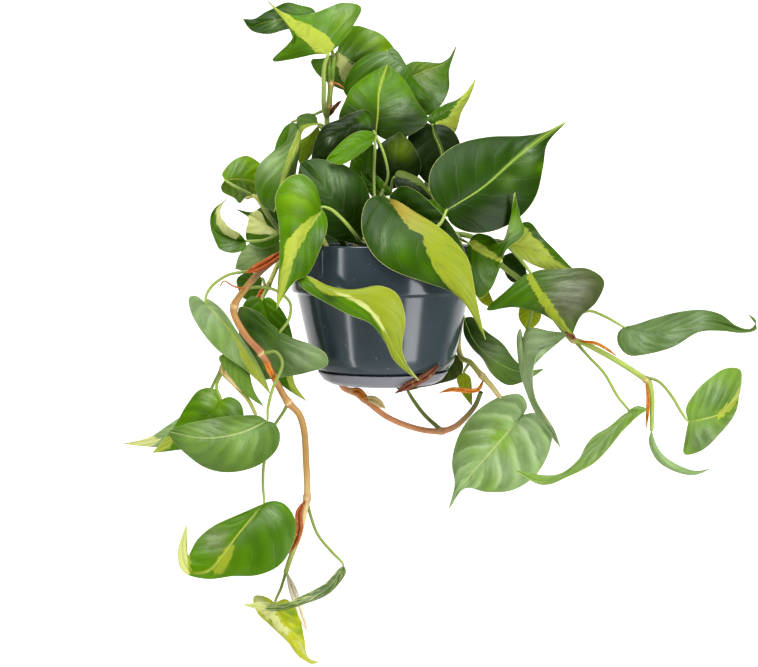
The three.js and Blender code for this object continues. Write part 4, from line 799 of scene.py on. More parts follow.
        "shades": [("fresh", 292, 612, 9), ("grey", 272, 618, 6), ("fresh", 300, 630, 6)],
    },
    "spike_leaf": {
        "vine": "right_vine", "slot": "green_leaf", "tone": "mid", "accent": "yellowLime", "rim": 0.9,
        "ribBand": [0.7, 0.8, 0.8, 0.8], "stalk": [(456, 235), (461, 239, -30)],
        "rib": [(468, 243, -42), (486, 254, -48), (500, 258, -54), (509, 232, -60), (514.5, 192, -60)],
        "left": [(476, 234, 2), (490, 236, 3), (501, 243, 1), (509, 224), (513, 205)],
        "right": [(466, 258, 3), (470, 284, 5), (480, 298, 6), (491, 289, 6), (498, 272, 4), (506, 250, 3),
                  (524, 234, 4), (520, 216, 2)],
        "lime": [[(466, 241), (475, 240), (486, 247), (500, 257), (504, 263), (497, 262), (484, 256),
                  (474, 250)]],
        "shades": [("greyDark", 484, 284, 14), ("grey", 510, 225, 12)],
        "shine": [(486, 274, 9), (508, 232, 9)],
    },
    "lime_side_leaf": {
        "vine": "right_vine", "slot": "lime_leaf", "tone": "mid", "accent": "yellowLime", "mottle": 0.6,
        "lean": (0.2, 0), "stalk": [(480, 241), (496, 240, -24)],
        "rib": [(508, 243, -28), (530, 249, -30), (552, 260, -30), (580, 276, -26)],
        "left": [(512, 230, 3), (528, 222, 5), (543, 238, 5), (562, 258, 3)],
        "right": [(517, 255, -2), (531, 264, -2), (549, 270, -1)],
        "lime": [[(505, 245), (510, 234), (526, 227), (538, 240), (554, 258), (582, 278), (549, 272),
                  (531, 267), (515, 258)]],
        "shades": [("dark", 545, 236, 10)], "shine": [(535, 240, 8)],
    },
    "grey_right_leaf": {
        "vine": "right_vine", "slot": "dark_leaf", "tone": "mid", "mottle": 0.6, "rim": 0.4,
        "stalkRadius": 1.5, "stalk": [(484, 244), (503, 243, -36), (518, 257, -40)],
        "rib": [(531, 273, -44), (543, 290, -50), (556, 308, -50), (572, 335, -44)],
        "left": [(523, 276, 2), (508, 289, 4), (486.5, 310, 10), (512, 307, 7), (538, 312, 5),
                 (558, 324, 2)],
        "right": [(541, 270, 3), (562, 269, 8), (588, 269, 14), (604, 281, 16), (597, 301, 12),
                  (580, 317, 5)],
        "lime": [[(530, 272), (541, 288), (552, 303), (562, 319), (573, 336), (560, 330), (548, 314),
                  (540, 303), (533, 292), (526, 277)]],
        "shades": [("umber", 585, 288, 34), ("umber", 565, 302, 26), ("mid", 515, 298, 16)],
        "shine": [(566, 284, 20)],
    },
    "drooping_leaf": {
        "vine": "right_vine", "slot": "green_leaf", "tone": "sage", "accent": "sheen",
        "ribBand": [0.8, 0.6, 0.5], "stalk": [(528, 288), (532, 312, -18)],
        "rib": [(523, 341, -22), (524, 366, -26), (530, 393, -26), (543, 414, -26), (560.5, 448, -24)],
        "left": [(520, 328, 2), (517, 336, 3), (517.5, 352, 4), (521, 375, 4), (529, 400, 3),
                 (545, 428, 1)],
        "right": [(530, 328, -3), (550, 331, -4), (567, 334, -4), (556, 344, -6), (540, 351, -8),
                  (533, 370, -12), (535, 396, -10), (555, 431, -3)],
        "lime": [[(538, 410), (545, 414), (553, 428), (546, 424)]],
        "shades": [("pale", 526, 385, 16), ("greyDark", 556, 344, 12)],
        "shine": [(545, 345, 14), (530, 380, 14)],
    },
    "right_edge_leaf": {
        "vine": "right_vine", "slot": "green_leaf", "tone": "grey", "accent": "sheen", "mottle": 0.7,
        "marble": 0.9, "ribBand": [0.6, 0.6, 0.5],
        "stalk": [(575, 341), (589, 357, -30), (604, 373, -36), (618, 397, -42)],
        "rib": [(629, 411.5, -44), (612, 431, -48), (591, 452, -48), (566, 474, -46), (541, 482, -44),
                (513, 470, -42)],
        "left": [(622, 416, 4), (609, 427, 8), (596, 435, 10), (586, 446, 10), (577, 461, 8),
                 (558, 475, 4)],
        "right": [(637, 406, -3), (647, 409, -6), (639, 415, -9), (624, 430, -12), (609, 448, -14),
                  (592, 464, -12), (568, 477, -8), (543, 485, -2)],
        "shine": [(600, 440, 20)],
    },
    "far_right_leaf": {
        "vine": "right_vine", "slot": "green_leaf", "tone": "grey", "accent": "yellowLime", "mottle": 0.7,
        "marble": 2.2, "lean": (0.3, 0), "ribBand": [0.8, 0.8, 0.8, 0.8],
        "stalk": [(641, 376), (658, 381, -44), (671, 395, -50), (682, 413, -52)],
        "rib": [(688.5, 421.5, -52), (704, 419, -58), (722, 413, -56), (739, 396, -42)],
        "left": [(686, 408, 2), (694, 394, 4), (707, 380, 4), (724, 369, 6), (740, 370, 10), (741, 384, 8)],
        "right": [(685, 440, 2), (684, 454, 4), (698, 452, 4), (714, 440, 4), (728, 424, 4), (737, 408, 4)],
        "lime": [[(716, 414), (728, 402), (738, 390), (743, 384), (741, 397), (730, 411), (718, 420)]],
        "shades": [("mid", 716, 400, 16), ("greyDark", 700, 440, 16)],
        "shine": [(712, 392, 14), (706, 436, 12)],
    },
    "long_tipped_leaf": {
        "vine": "right_vine", "slot": "green_leaf", "tone": "greyDark", "lean": (-0.1, -0.3),
        "stalk": [(560, 325), (588, 311, -14), (606, 317, -14)],
        "rib": [(624, 327, -14), (650, 334, -18), (680, 328, -18), (706, 321, -14), (728, 325, -10),
                (744, 331, -10), (756, 326, -10), (748, 314, -10)],
        "left": [(634, 325, 2), (655, 318, 5), (680, 312, 6), (704, 310, 6), (722, 315, 5), (735, 325, 1),
                 (751, 329), (756, 320)],
        "right": [(618, 333, 1), (618, 344, 3), (628, 355, 5), (648, 354, 5), (673, 347, 5), (699, 332, 3),
                  (722, 331, 1), (742, 333), (757, 329)],
        "shine": [(640, 344, 14), (672, 336, 14), (700, 322, 10)],
    },
    "low_heart_leaf": {
        "vine": "right_back_vine", "slot": "pale_leaf", "tone": "pale", "accent": "sheen", "rim": 0.6,
        "quilt": 1.3, "veins": 1, "lean": (-0.15, -0.25), "ribBand": [0.9, 0.9, 0.8, 0.6],
        "stalk": [(516, 409)],
        "rib": [(523, 415, -6), (508, 432, -14), (487, 456, -16), (466, 481, -12), (448.5, 509.6, -8)],
        "left": [(527, 406, 1), (521, 395, 2), (503, 396, 4), (486, 404, 5), (469, 419, 5), (457, 440, 5),
                 (452, 463, 4), (455, 484, 2)],
        "right": [(534, 413, 1), (545, 418, 3), (552, 434, 5), (547, 457, 6), (534, 477, 6), (513, 490, 5),
                  (487, 492, 3), (465, 488, 1)],
        "shades": [("fresh", 500, 440, 20), ("grey", 470, 440, 16), ("grey", 490, 484, 14)],
        "shine": [(520, 430, 18), (485, 440, 12), (500, 465, 14), (535, 450, 9)],
    },
    "back_right_leaf": {
        "vine": "right_back_vine", "slot": "dark_leaf", "tone": "greyDark", "accent": "grey", "mottle": 0.4,
        "rim": 0.5, "ribBand": [0.8, 0.7, 0.6], "stalk": [(464, 262), (464, 290, 40)],
        "rib": [(464, 318, 24), (474, 341, 18), (490, 357, 14), (517, 371, 14), (544.5, 369, 16)],
        "left": [(472, 317, 3), (486, 331, 6), (502, 343, 6), (515, 360, 3), (530, 372)],
        "right": [(464, 334, 1), (473, 349, 4), (482, 358, 5), (492, 374, 5), (508, 385, 4), (527, 380, 1)],
        "lime": [[(528, 374), (538, 365), (546, 366), (545, 371), (534, 379)]],
        "shades": [("grey", 490, 372, 14), ("deep", 470, 330, 14)], "shine": [(492, 352, 12)],
    },
    "under_right_leaf": {
        "vine": "right_back_vine", "slot": "dark_leaf", "tone": "oliveDark",
        "stalk": [(459, 346), (456, 350, 46)],
        "rib": [(452, 352, 50), (442, 364, 50), (432, 376, 50), (418, 388, 50)],
        "left": [(444, 346, 2), (430, 352, 4), (420, 372, 3)],
        "right": [(462, 360, -2), (461, 375, -3), (438, 384, -1)], "shades": [("mid", 430, 372, 10)],
    },
}

# Small leaves that are one piece with their vine
smallLeafPlans = [
    {"vine": "crown_vine", "tone": "bright", "stalk": [(329, 108), (306, 118, 16)],
     "rib": [(292, 122, 12), (284, 136, 10), (274, 152, 8)], "left": [(285, 127, 2), (278, 139, 3)],
     "right": [(291, 134, 2), (285, 147, 2)]},
    {"vine": "crown_vine", "tone": "olive", "stalk": [(329, 138), (324, 131, 17)],
     "rib": [(318, 126, 14), (311, 142, 16), (300, 165, 16)],
     "left": [(309, 135, 2), (300, 142, 3), (298, 156, 2)],
     "right": [(320, 135, 2), (315, 148, 3), (308, 159, 2)]},
    {"vine": "back_trailing_vine", "tone": "mid", "stalk": [(352, 205), (360, 185, 56)],
     "rib": [(364, 180, 48), (367, 162, 44), (370, 141, 42)], "left": [(350, 172), (354, 154)],
     "right": [(382, 176), (381, 156)]},
    {"vine": "right_vine", "tone": "dark", "stalk": [(497, 258)],
     "rib": [(503, 256, -8), (514, 266, -8), (528, 280, -6)], "left": [(512, 253, 2), (523, 262, 3)],
     "right": [(503, 268, 1), (512, 282, 2)]},
    {"vine": "right_vine", "tone": "lime", "stalk": [(487, 247), (482, 262, -24)],
     "rib": [(478, 278, -26), (484, 292, -28), (497, 310, -28)], "left": [(473, 286, 1), (481, 302, 1)],
     "right": [(485, 283, 2), (491, 297, 1)]},
    {"vine": "right_vine", "tone": "lime", "stalk": [(540, 301)],
     "rib": [(531, 303, -4), (530, 314, -2), (528, 332, 0)], "left": [(521, 305, 1), (519, 318, 1)],
     "right": [(540, 306, 1), (540, 320, 1)]},
    {"vine": "right_vine", "tone": "pale", "stalk": [(652, 424)],
     "rib": [(651.5, 430, -46), (656, 449, -49), (671, 466, -51), (690, 472, -51), (711, 469, -49)],
     "left": [(649, 442, 4), (657, 460, 5), (674, 471, 4), (694, 475, 1)],
     "right": [(655, 442, 4), (663, 455, 5), (680, 466, 4), (696, 471, 1)]},
    {"vine": "back_left_vine", "tone": "mid", "stalk": [(266, 290)],
     "rib": [(262, 278, 10), (252, 284, 12), (240, 295, 12)], "left": [(250, 272, 2), (237, 279, 2)],
     "right": [(260, 292, 1), (248, 300, 1)]},
    {"vine": "back_left_vine", "tone": "grey", "stalk": [(232, 351)],
     "rib": [(228, 353, -36), (242, 376, -40), (264, 407, -42)],
     "left": [(219, 357, 2), (229, 375, 3), (248, 396, 1)],
     "right": [(238, 352, 2), (248, 368, 3), (254, 391, 1)]},
    {"vine": "under_pot_vine", "tone": "olive", "stalkRadius": 1.9, "stalk": [(442, 431), (423, 413, 42)],
     "rib": [(408, 391, 60), (402, 366, 84), (398, 338, 94)],
     "left": [(396, 388, 2), (386, 370, 3), (389, 352, 1)],
     "right": [(420, 386, 2), (414, 364, 3), (406, 350, 1)]},
    {"vine": "right_back_vine", "tone": "lime", "stalk": [(470, 362)],
     "rib": [(464, 372, 20), (465, 388, 22), (472, 406, 22)], "left": [(457, 378, 1), (462, 393, 1)],
     "right": [(470, 377, 1), (472, 391, 1)]},
]

# Leaves on the side away from the view, in millimetres
backLeafPlans = [
    {"vine": "back_trailing_vine", "base": (-38, 106, 6), "tip": (-30, 138, -56), "halfWidth": 29,
     "tone": "dark"},
    {"vine": "back_trailing_vine", "base": (-24, 108, -46), "tip": (-26, 130, -98), "halfWidth": 26,
     "tone": "mid"},
    {"vine": "back_trailing_vine", "base": (-50, 84, 44), "tip": (-76, 110, 6), "halfWidth": 26,
     "tone": "mid"},
    {"vine": "back_right_leafy_vine", "base": (42, 114, 10), "tip": (36, 142, -50), "halfWidth": 29,
     "tone": "dark"},
    {"vine": "back_right_leafy_vine", "base": (36, 108, -50), "tip": (30, 126, -98), "halfWidth": 25,
     "tone": "mid"},
    {"vine": "back_right_leafy_vine", "base": (46, 98, 52), "tip": (74, 122, 18), "halfWidth": 28,
     "tone": "bright"},
]

# Papery sheaths and short aerial roots
sheathPlans = [
    {"vine": "left_vine", "tone": "orange", "halfWidth": 3.4,
     "spine": [(284, 251, -62), (265, 264, -68), (245, 273, -70)]},
    {"vine": "left_vine", "tone": "amber", "halfWidth": 2.2,
     "spine": [(265, 360, -63), (269, 369, -66), (276, 382, -62)]},
    {"vine": "left_vine", "tone": "rust", "halfWidth": 3,
     "spine": [(307, 498, -41), (299, 512, -45), (299, 530, -45), (292, 548, -44), (286, 556, -44)]},
    {"vine": "left_vine", "tone": "blush", "halfWidth": 3.4,
     "spine": [(286, 570, -40), (297, 602, -36), (308, 634, -34)]},
    {"vine": "back_left_vine", "tone": "straw", "halfWidth": 3,
     "spine": [(223, 371, -31), (233, 380, -37), (242, 392, -38)]},
    {"vine": "back_left_vine", "tone": "rust", "halfWidth": 2.6,
     "spine": [(269, 284, 3), (261, 294, -7), (257, 304, -12)]},
    {"vine": "crown_vine", "tone": "fresh", "halfWidth": 3.0,
     "spine": [(331, 84, 8), (331, 70, 3), (331, 54, 5)]},
    {"vine": "crown_vine", "tone": "dry", "halfWidth": 1.6,
     "spine": [(329, 117, 12), (335, 107, 7), (342, 100, 6)]},
    {"vine": "right_vine", "tone": "amber", "halfWidth": 1.2,
     "spine": [(576, 341, -23), (598, 344, -34), (618, 357, -38)]},
    {"vine": "right_vine", "tone": "amber", "halfWidth": 1.3,
     "spine": [(645, 378, -39), (648, 398, -46), (646, 430, -50)]},
    {"vine": "right_vine", "tone": "dry", "halfWidth": 2,
     "spine": [(576, 341, -23), (570, 334, -28), (562, 333, -30)]},
    {"vine": "under_pot_vine", "tone": "amber", "halfWidth": 3.4,
     "spine": [(350, 391, 67), (359, 392, 57), (369, 403, 51)]},
    {"vine": "under_pot_vine", "tone": "straw", "halfWidth": 3.4,
     "spine": [(364, 399, 56), (374, 400, 48), (386, 409, 42)]},
    {"vine": "right_back_vine", "tone": "amber", "halfWidth": 2,
     "spine": [(484, 378, 3), (476, 391, -4), (456, 389, -8), (438, 393, -8)]},
]
looseSheath = {"tone": "dry", "halfWidth": 3.2,
               "spine": [(440, 363, -41.3), (427, 376, -46.3), (411, 384, -49.3), (394, 394, -50.3)]}
rootPlans = [
    {"vine": "left_vine",
     "spine": [(246, 288, -62), (240, 288, -68), (233, 286, -70), (224, 281, -70), (219.5, 287, -70)]},
    {"vine": "crown_vine", "spine": [(331, 83, 8), (338, 84, 3), (345, 89, 2)]},
]
# Each kind of blade counts its seeds on from here, and a leaf of its own counts from 0
firstSeeds = {"small": 50, "back": 70, "sheath": 90, "loose": 99}

stems = {
    "sides": 14, "step": 0.0016, "pieces": 240, "rootSteps": (-17, -8.5, 1, 6), "thinning": 0.25,
    "thinFrom": 0.85, "ringReach": 0.0012, "bandReach": 0.004, "swellReach": 0.0035, "swell": 0.28,
    "ridge": 0.05,
}


def vineRoute(plan):
    # From the root in the soil up to its top, and then as the plan says
    x, y = plan["root"]
    upright = [Vector((x, y, soil["top"] + step)) * mm for step in stems["rootSteps"]]
    return Route(upright + placed(plan["route"]), stems["pieces"])


def vineMesh(plan, route):
    nodes = [route.nearest(x, y) for x, y in plan["nodes"]]
    toneNames = plan["tones"]

    def nearNodes(along, reach):
        # How near each node is, 1 at the node itself
        return [math.exp(-((along - node) * route.length / reach) ** 2) for node in nodes]

    def tintAt(along):
        spot = along * (len(toneNames) - 1)
        i = min(int(spot), len(toneNames) - 2)
        colour = mixed(tone(toneNames[i]), tone(toneNames[i + 1]), smooth(0, 1, spot - i))
        band = max(nearNodes(along, stems["bandReach"]), default=0)
        ring = max(nearNodes(along, stems["ringReach"]), default=0)
        return mixed(mixed(colour, tone("reddish"), 0.5 * band), tone("straw"), 0.8 * ring)

    def radiusAt(along, angle):
        swell = stems["swell"] * min(sum(nearNodes(along, stems["swellReach"])), 1)
        ridge = stems["ridge"] * math.cos(3 * angle)
        thin = 1 - stems["thinning"] * smooth(stems["thinFrom"], 1, along)
        return plan["radius"] * mm * (1 + swell + ridge) * thin

    return tube(route, radiusAt, tintAt, stems["sides"], stems["step"])


aerialRoots = {"tone": "rust", "radius": 0.9, "thinning": 0.4, "pieces": 40}


def aerialRootMesh(plan):
    colour = tone(aerialRoots["tone"])

    def radiusAt(along, angle):
        return aerialRoots["radius"] * mm * (1 - aerialRoots["thinning"] * along)

    route = Route(placed(plan["spine"]), aerialRoots["pieces"])
    return tube(route, radiusAt, lambda along: colour, stalks["sides"], stems["step"])


rootlets = {"count": 4, "length": (0.002, 0.005), "radius": 0.00032, "pieces": 8, "sides": 5, "step": 0.001}


def rootletMeshes(plan, route, rng):
    # Short brown rootlets at the nodes of a vine
    made = []
    colour = tone("dry")
    for x, y in plan["nodes"]:
        along = route.nearest(x, y)
        centre, forward = route.at(along), route.tangent(along)
        for _ in range(rootlets["count"]):
            aside = Vector([rng.uniform(-1, 1) for _ in range(3)])
            out = forward.cross(aside).normalized()
            reach = rng.uniform(*rootlets["length"])
            start = centre + out * plan["radius"] * mm * 0.8
            bend = start + (out + forward * rng.uniform(-0.5, 0.5)) * reach * 0.6
            tip = bend + (out * 0.3 + Vector((0, 0, -1)) + forward * rng.uniform(-0.4, 0.4)) * reach * 0.6
            thin = Route([start, bend, tip], rootlets["pieces"])
            made.append((tube(thin, lambda share, angle: rootlets["radius"] * (1.2 - share),
                              lambda share: colour, rootlets["sides"], rootlets["step"]), onStem))
    return made


def leafMeshes(plan, route, seed, small=False):
    # One leaf: its blade and the stalk that carries it from its vine
    plan = {**usualLeaf, **plan}
    baseX, baseY = plan["rib"][0][:2]
    leanAcross, leanDown = plan["lean"]

    def lean(px, py):
        return leanAcross * (px - baseX) + leanDown * (py - baseY)

    flat = placed(plan["rib"])
    flatRib = Route(flat)
    rib = [at(px, py, spot.y / mm + lean(px, py)) for (px, py, *_), spot in zip(plan["rib"], flat)]
    edges = []
    for side in ("left", "right"):
        edge = []
        for i, (px, py, *lift) in enumerate(plan[side]):
            share = ((i + 1) / (len(plan[side]) + 1)) ** blades["crowding"]
            edge.append(at(px, py, flatRib.at(share).y / mm + sum(lift) + lean(px, py)))
        edges.append(edge)
    first = (plan["stalk"] or plan["rib"])[0]
    root = route.at(route.nearest(first[0], first[1]))
    between = []
    for i, (px, py, *depth) in enumerate(plan["stalk"][1:]):
        share = (i + 1) / len(plan["stalk"])
        between.append(at(px, py, depth[0] if depth else (root.y + (rib[0].y - root.y) * share) / mm))
    into = rib[0].lerp(rib[1], min(0.5, stalks["intoBlade"] / (rib[1] - rib[0]).length))
    stem = stalk([root, *between, rib[0], into], plan["stalkRadius"])
    return [(blade(rib, edges, plan, seed, small=small), onLeaf), (stem, onStem)]


# The outline is (share of the length, share of the half width)
hearts = {
    "outline": [(-0.09, 0.42), (0, 0.86), (0.2, 1), (0.42, 0.86), (0.66, 0.5), (0.86, 0.15)],
    "upper": (0, 1, 0.6), "sag": 0.1, "edgeSag": 0.4, "intoBlade": 0.04,
    "look": {"ribBand": [0.9, 1.6, 2.0, 0.8], "rim": 0.5, "quilt": 0.5},
}


def heartMeshes(plan, route, seed):
    # A heart-shaped leaf on the side away from the view
    start, end = Vector(plan["base"]) * mm, Vector(plan["tip"]) * mm
    along = end - start
    upper = Vector(hearts["upper"]).normalized()
    across = along.cross(upper).normalized() * plan["halfWidth"] * mm
    sag = upper * hearts["sag"] * along.length
    edges = [
        [start + along * share + across * side * width + sag * hearts["edgeSag"]
         for share, width in hearts["outline"]]
        for side in (-1, 1)
    ]
    root = min((route.at(i / 80) for i in range(81)), key=lambda spot: (spot - start).length)
    stem = stalk([root, start, start + along * hearts["intoBlade"]], usualLeaf["stalkRadius"])
    look = {"tone": plan["tone"], **hearts["look"]}
    rib = [start, start + along * 0.5 + sag, end]
    return [(blade(rib, edges, look, seed, face=-1), onLeaf), (stem, onStem)]


sheaths = {"shares": (0.25, 0.5, 0.75), "arch": 0.3, "thickness": 0.0004, "quilt": 0.8}


def sheathMesh(plan, seed):
    # A dry papery sheath, arched across and narrow at both ends
    spine = placed(plan["spine"])
    route = Route(spine)
    edges = []
    for side in (-1, 1):
        edge = []
        for share in sheaths["shares"]:
            across = route.tangent(share).cross(ahead).normalized()
            narrowing = math.sin(math.pi * share) ** 0.5
            edge.append(route.at(share) + across * side * plan["halfWidth"] * mm * narrowing)
        edges.append(edge)
    look = {"tone": plan["tone"], "quilt": sheaths["quilt"]}
    return blade(spine, edges, look, seed, small=True, arch=sheaths["arch"],
                 thickness=sheaths["thickness"])


# Pot, saucer and soil: millimetres
pot = {
    "rimRadius": 76.5, "band": 38, "bandRadius": 75.6, "neckRadius": 71.4, "wall": 1.8, "base": -103.4,
    "baseRadius": 51.5, "curve": (60.3, -91), "softening": 1.2, "segments": 144,
    "lugSize": (5, 2.8, 22), "lugDrop": 3, "lugAngles": (-40, 80, 200), "lugBevel": 0.8,
    "drainRadius": 3.5, "drainCircle": 30, "drains": 4,
}
saucer = {"bottom": -114, "gap": 0.35, "outer": 54, "flat": 44, "softening": 0.7}
soil = {
    "top": -11, "dome": 3, "rings": 26, "segments": 96, "gap": 0.35, "lumps": 0.0016, "lumpScale": 160,
    "settled": 0.0012, "crumbs": 520, "crumbSize": (0.0007, 0.0024), "crumbSink": 0.9,
}
# Dark peat crumbs in the groove where the pot stands in its saucer, which make the groove darker
groove = {"radius": 53.4, "height": -103.7, "crumbs": 90, "crumbSize": (0.0003, 0.0007)}
# How crumbs are stretched along three directions, and how uneven they are
crumbs = {"length": (0.7, 1.6), "width": (0.6, 1.2), "height": (0.4, 0.8), "uneven": (0.8, 1.2)}


def turned(profile, segments):
    # Spins a closed outline of (radius, height) in millimetres round the axis
    bm = bmesh.new()
    ring = [bm.verts.new((radius * mm, 0, height * mm)) for radius, height in profile]
    edges = [bm.edges.new(pair) for pair in zip(ring, ring[1:])]
    bmesh.ops.spin(bm, geom=ring + edges, cent=(0, 0, 0), axis=(0, 0, 1), angle=2 * math.pi,
                   steps=segments, use_merge=True, use_duplicate=False)
    bmesh.ops.remove_doubles(bm, verts=bm.verts, dist=weldDistance)
    bmesh.ops.dissolve_degenerate(bm, edges=bm.edges, dist=1e-7)
    bmesh.ops.recalc_face_normals(bm, faces=bm.faces)
    return bm


def rounded(profile, reach, steps=4):
    # Softens the corners of an outline with short curves; its two ends stay
    out = [profile[0]]
    for before, corner, after in zip(profile, profile[1:], profile[2:]):
        here = Vector(corner)
        arms = [Vector(before) - here, Vector(after) - here]
        cut = min(reach, arms[0].length * 0.45, arms[1].length * 0.45)
        a, b = (here + arm.normalized() * cut for arm in arms)
        for i in range(steps + 1):
            t = i / steps
            out.append(tuple(a.lerp(here, t).lerp(here.lerp(b, t), t)))
    return out + [profile[-1]]


def potMesh():
    band, wall, base, rim = -pot["band"], pot["wall"], pot["base"], pot["rimRadius"]
    curveRadius, curveHeight = pot["curve"]
    outside = [
        (0, base), (pot["baseRadius"], base), (55.5, -101.5), (58.6, -97), pot["curve"],
        (pot["neckRadius"], band - 1.4), (75.2, band - 0.4), (pot["bandRadius"], band + 2), (rim, -1.2),
        (rim - 0.6, 0), (rim - 2, 0), (rim - 2.6, -1.4),
    ]
    inner = [
        (pot["bandRadius"] - wall, band + 2), (pot["neckRadius"] - wall, band - 3),
        (curveRadius - wall, curveHeight), (53.8, -98.6), (50.5, base + wall), (0, base + wall),
    ]
    body = meshOf(turned(rounded(outside + inner, pot["softening"]), pot["segments"]), "potBody")
    cutters = bmesh.new()
    turn = 2 * math.pi / pot["drains"]
    for i in range(pot["drains"]):
        angle = turn * i + turn / 2
        spot = Vector((math.cos(angle), math.sin(angle), 0)) * pot["drainCircle"] * mm
        spot.z = (base + wall / 2) * mm
        made = bmesh.ops.create_cone(cutters, cap_ends=True, segments=24, depth=3 * wall * mm,
                                     radius1=pot["drainRadius"] * mm, radius2=pot["drainRadius"] * mm)
        bmesh.ops.translate(cutters, verts=made["verts"], vec=spot)
    holes = linked("holes", meshOf(cutters, "holes"))
    drained = hardened(body, "BOOLEAN", {"operation": "DIFFERENCE", "object": holes, "solver": "EXACT"})
    bpy.data.objects.remove(holes)
    lugs = bmesh.new()
    for degrees in pot["lugAngles"]:
        made = bmesh.ops.create_cube(lugs, size=1)["verts"]
        bmesh.ops.scale(lugs, verts=made, vec=Vector(pot["lugSize"]) * mm)
        shift = Vector((0, -rim + 0.6, -pot["lugSize"][2] / 2 - pot["lugDrop"])) * mm
        bmesh.ops.translate(lugs, verts=made, vec=shift)
        turn = Matrix.Rotation(math.radians(degrees), 3, "Z")
        bmesh.ops.rotate(lugs, verts=made, cent=(0, 0, 0), matrix=turn)
    bmesh.ops.bevel(lugs, geom=lugs.edges[:], offset=pot["lugBevel"] * mm, offset_type="OFFSET", segments=3,
                    affect="EDGES", profile=0.5, material=-1)
    return [(drained, 0), (meshOf(lugs, "lugs"), 0)]


def saucerMesh():
    under, wall, bottom = pot["base"] - saucer["gap"], pot["wall"], saucer["bottom"]
    outer, flat = saucer["outer"], saucer["flat"]
    profile = [
        (0, bottom), (flat, bottom), (49.5, bottom + 3), (outer, under - 1.2), (outer, under - 0.2),
        (52.2, under - 0.2), (52, under - 1), (47.8, bottom + 4.2), (43.4, bottom + wall),
        (23, bottom + wall), (22.4, under), (19.6, under), (19, bottom + wall), (0, bottom + wall),
    ]
    return meshOf(turned(rounded(profile, saucer["softening"]), pot["segments"]), "saucerBody")


def soilMesh():
    gap = pot["wall"] + soil["gap"]
    base, top, dome = pot["base"], soil["top"], soil["dome"]
    curveRadius, curveHeight = pot["curve"]
    profile = [
        (0, base + gap), (50, base + gap), (53.2, -98.2), (curveRadius - gap, curveHeight),
        (pot["neckRadius"] - gap, -pot["band"] - 3.4), (pot["bandRadius"] - gap - 0.2, -pot["band"] + 2),
        (pot["rimRadius"] - 2.6 - soil["gap"] - 0.3, top - dome),
    ]
    edge = profile[-1][0]
    shares = [1 - i / soil["rings"] for i in range(1, soil["rings"] + 1)]
    profile += [(edge * share, top - dome * share ** 2) for share in shares]
    bm = turned(profile, soil["segments"])
    for vert in bm.verts:
        radius = math.hypot(vert.co.x, vert.co.y) / mm
        if vert.co.z > (top - dome + 0.1) * mm:
            lump = noise.fractal(vert.co * soil["lumpScale"], 1.0, 2.0, 4)
            vert.co.z += lump * soil["lumps"] * smooth(edge, edge - 8, radius) - soil["settled"]
    return meshOf(bm, "soilBody"), edge


def crumbMesh(spots, sizes, rng):
    # Small rough lumps of peat and bark
    bm = bmesh.new()
    for spot in spots:
        made = bmesh.ops.create_icosphere(bm, subdivisions=1, radius=rng.uniform(*sizes))["verts"]
        stretch = Vector([rng.uniform(*crumbs[way]) for way in ("length", "width", "height")])
        for vert in made:
            vert.co = Vector(a * b for a, b in zip(vert.co, stretch)) * rng.uniform(*crumbs["uneven"])
        turn = Matrix.Rotation(rng.uniform(0, 2 * math.pi), 3, "Z")
        bmesh.ops.rotate(bm, verts=made, cent=(0, 0, 0), matrix=turn)
        bmesh.ops.translate(bm, verts=made, vec=spot)
    return meshOf(bm, "crumbs")


class Wire:
    # A node's output that sums can be written on
    def __init__(self, look, socket):
        self.look, self.socket = look, socket

    def sum(self, operation, *others):
        return self.look.node("ShaderNodeMath", {"operation": operation}, "Value", [self, *others])

    def __add__(self, other):
        return self.sum("ADD", other)

    __radd__ = __add__

    def __sub__(self, other):
        return self.sum("SUBTRACT", other)

    def __rsub__(self, other):
        return self.look.node("ShaderNodeMath", {"operation": "SUBTRACT"}, "Value", [other, self])

    def __mul__(self, other):
        return self.sum("MULTIPLY", other)

    __rmul__ = __mul__

    def between(self, low, high):
        # 0 below low, 1 above high
        inputs = {"Value": self, "From Min": low, "From Max": high}
        return self.look.node("ShaderNodeMapRange", {"interpolation_type": "SMOOTHSTEP"}, "Result", inputs)


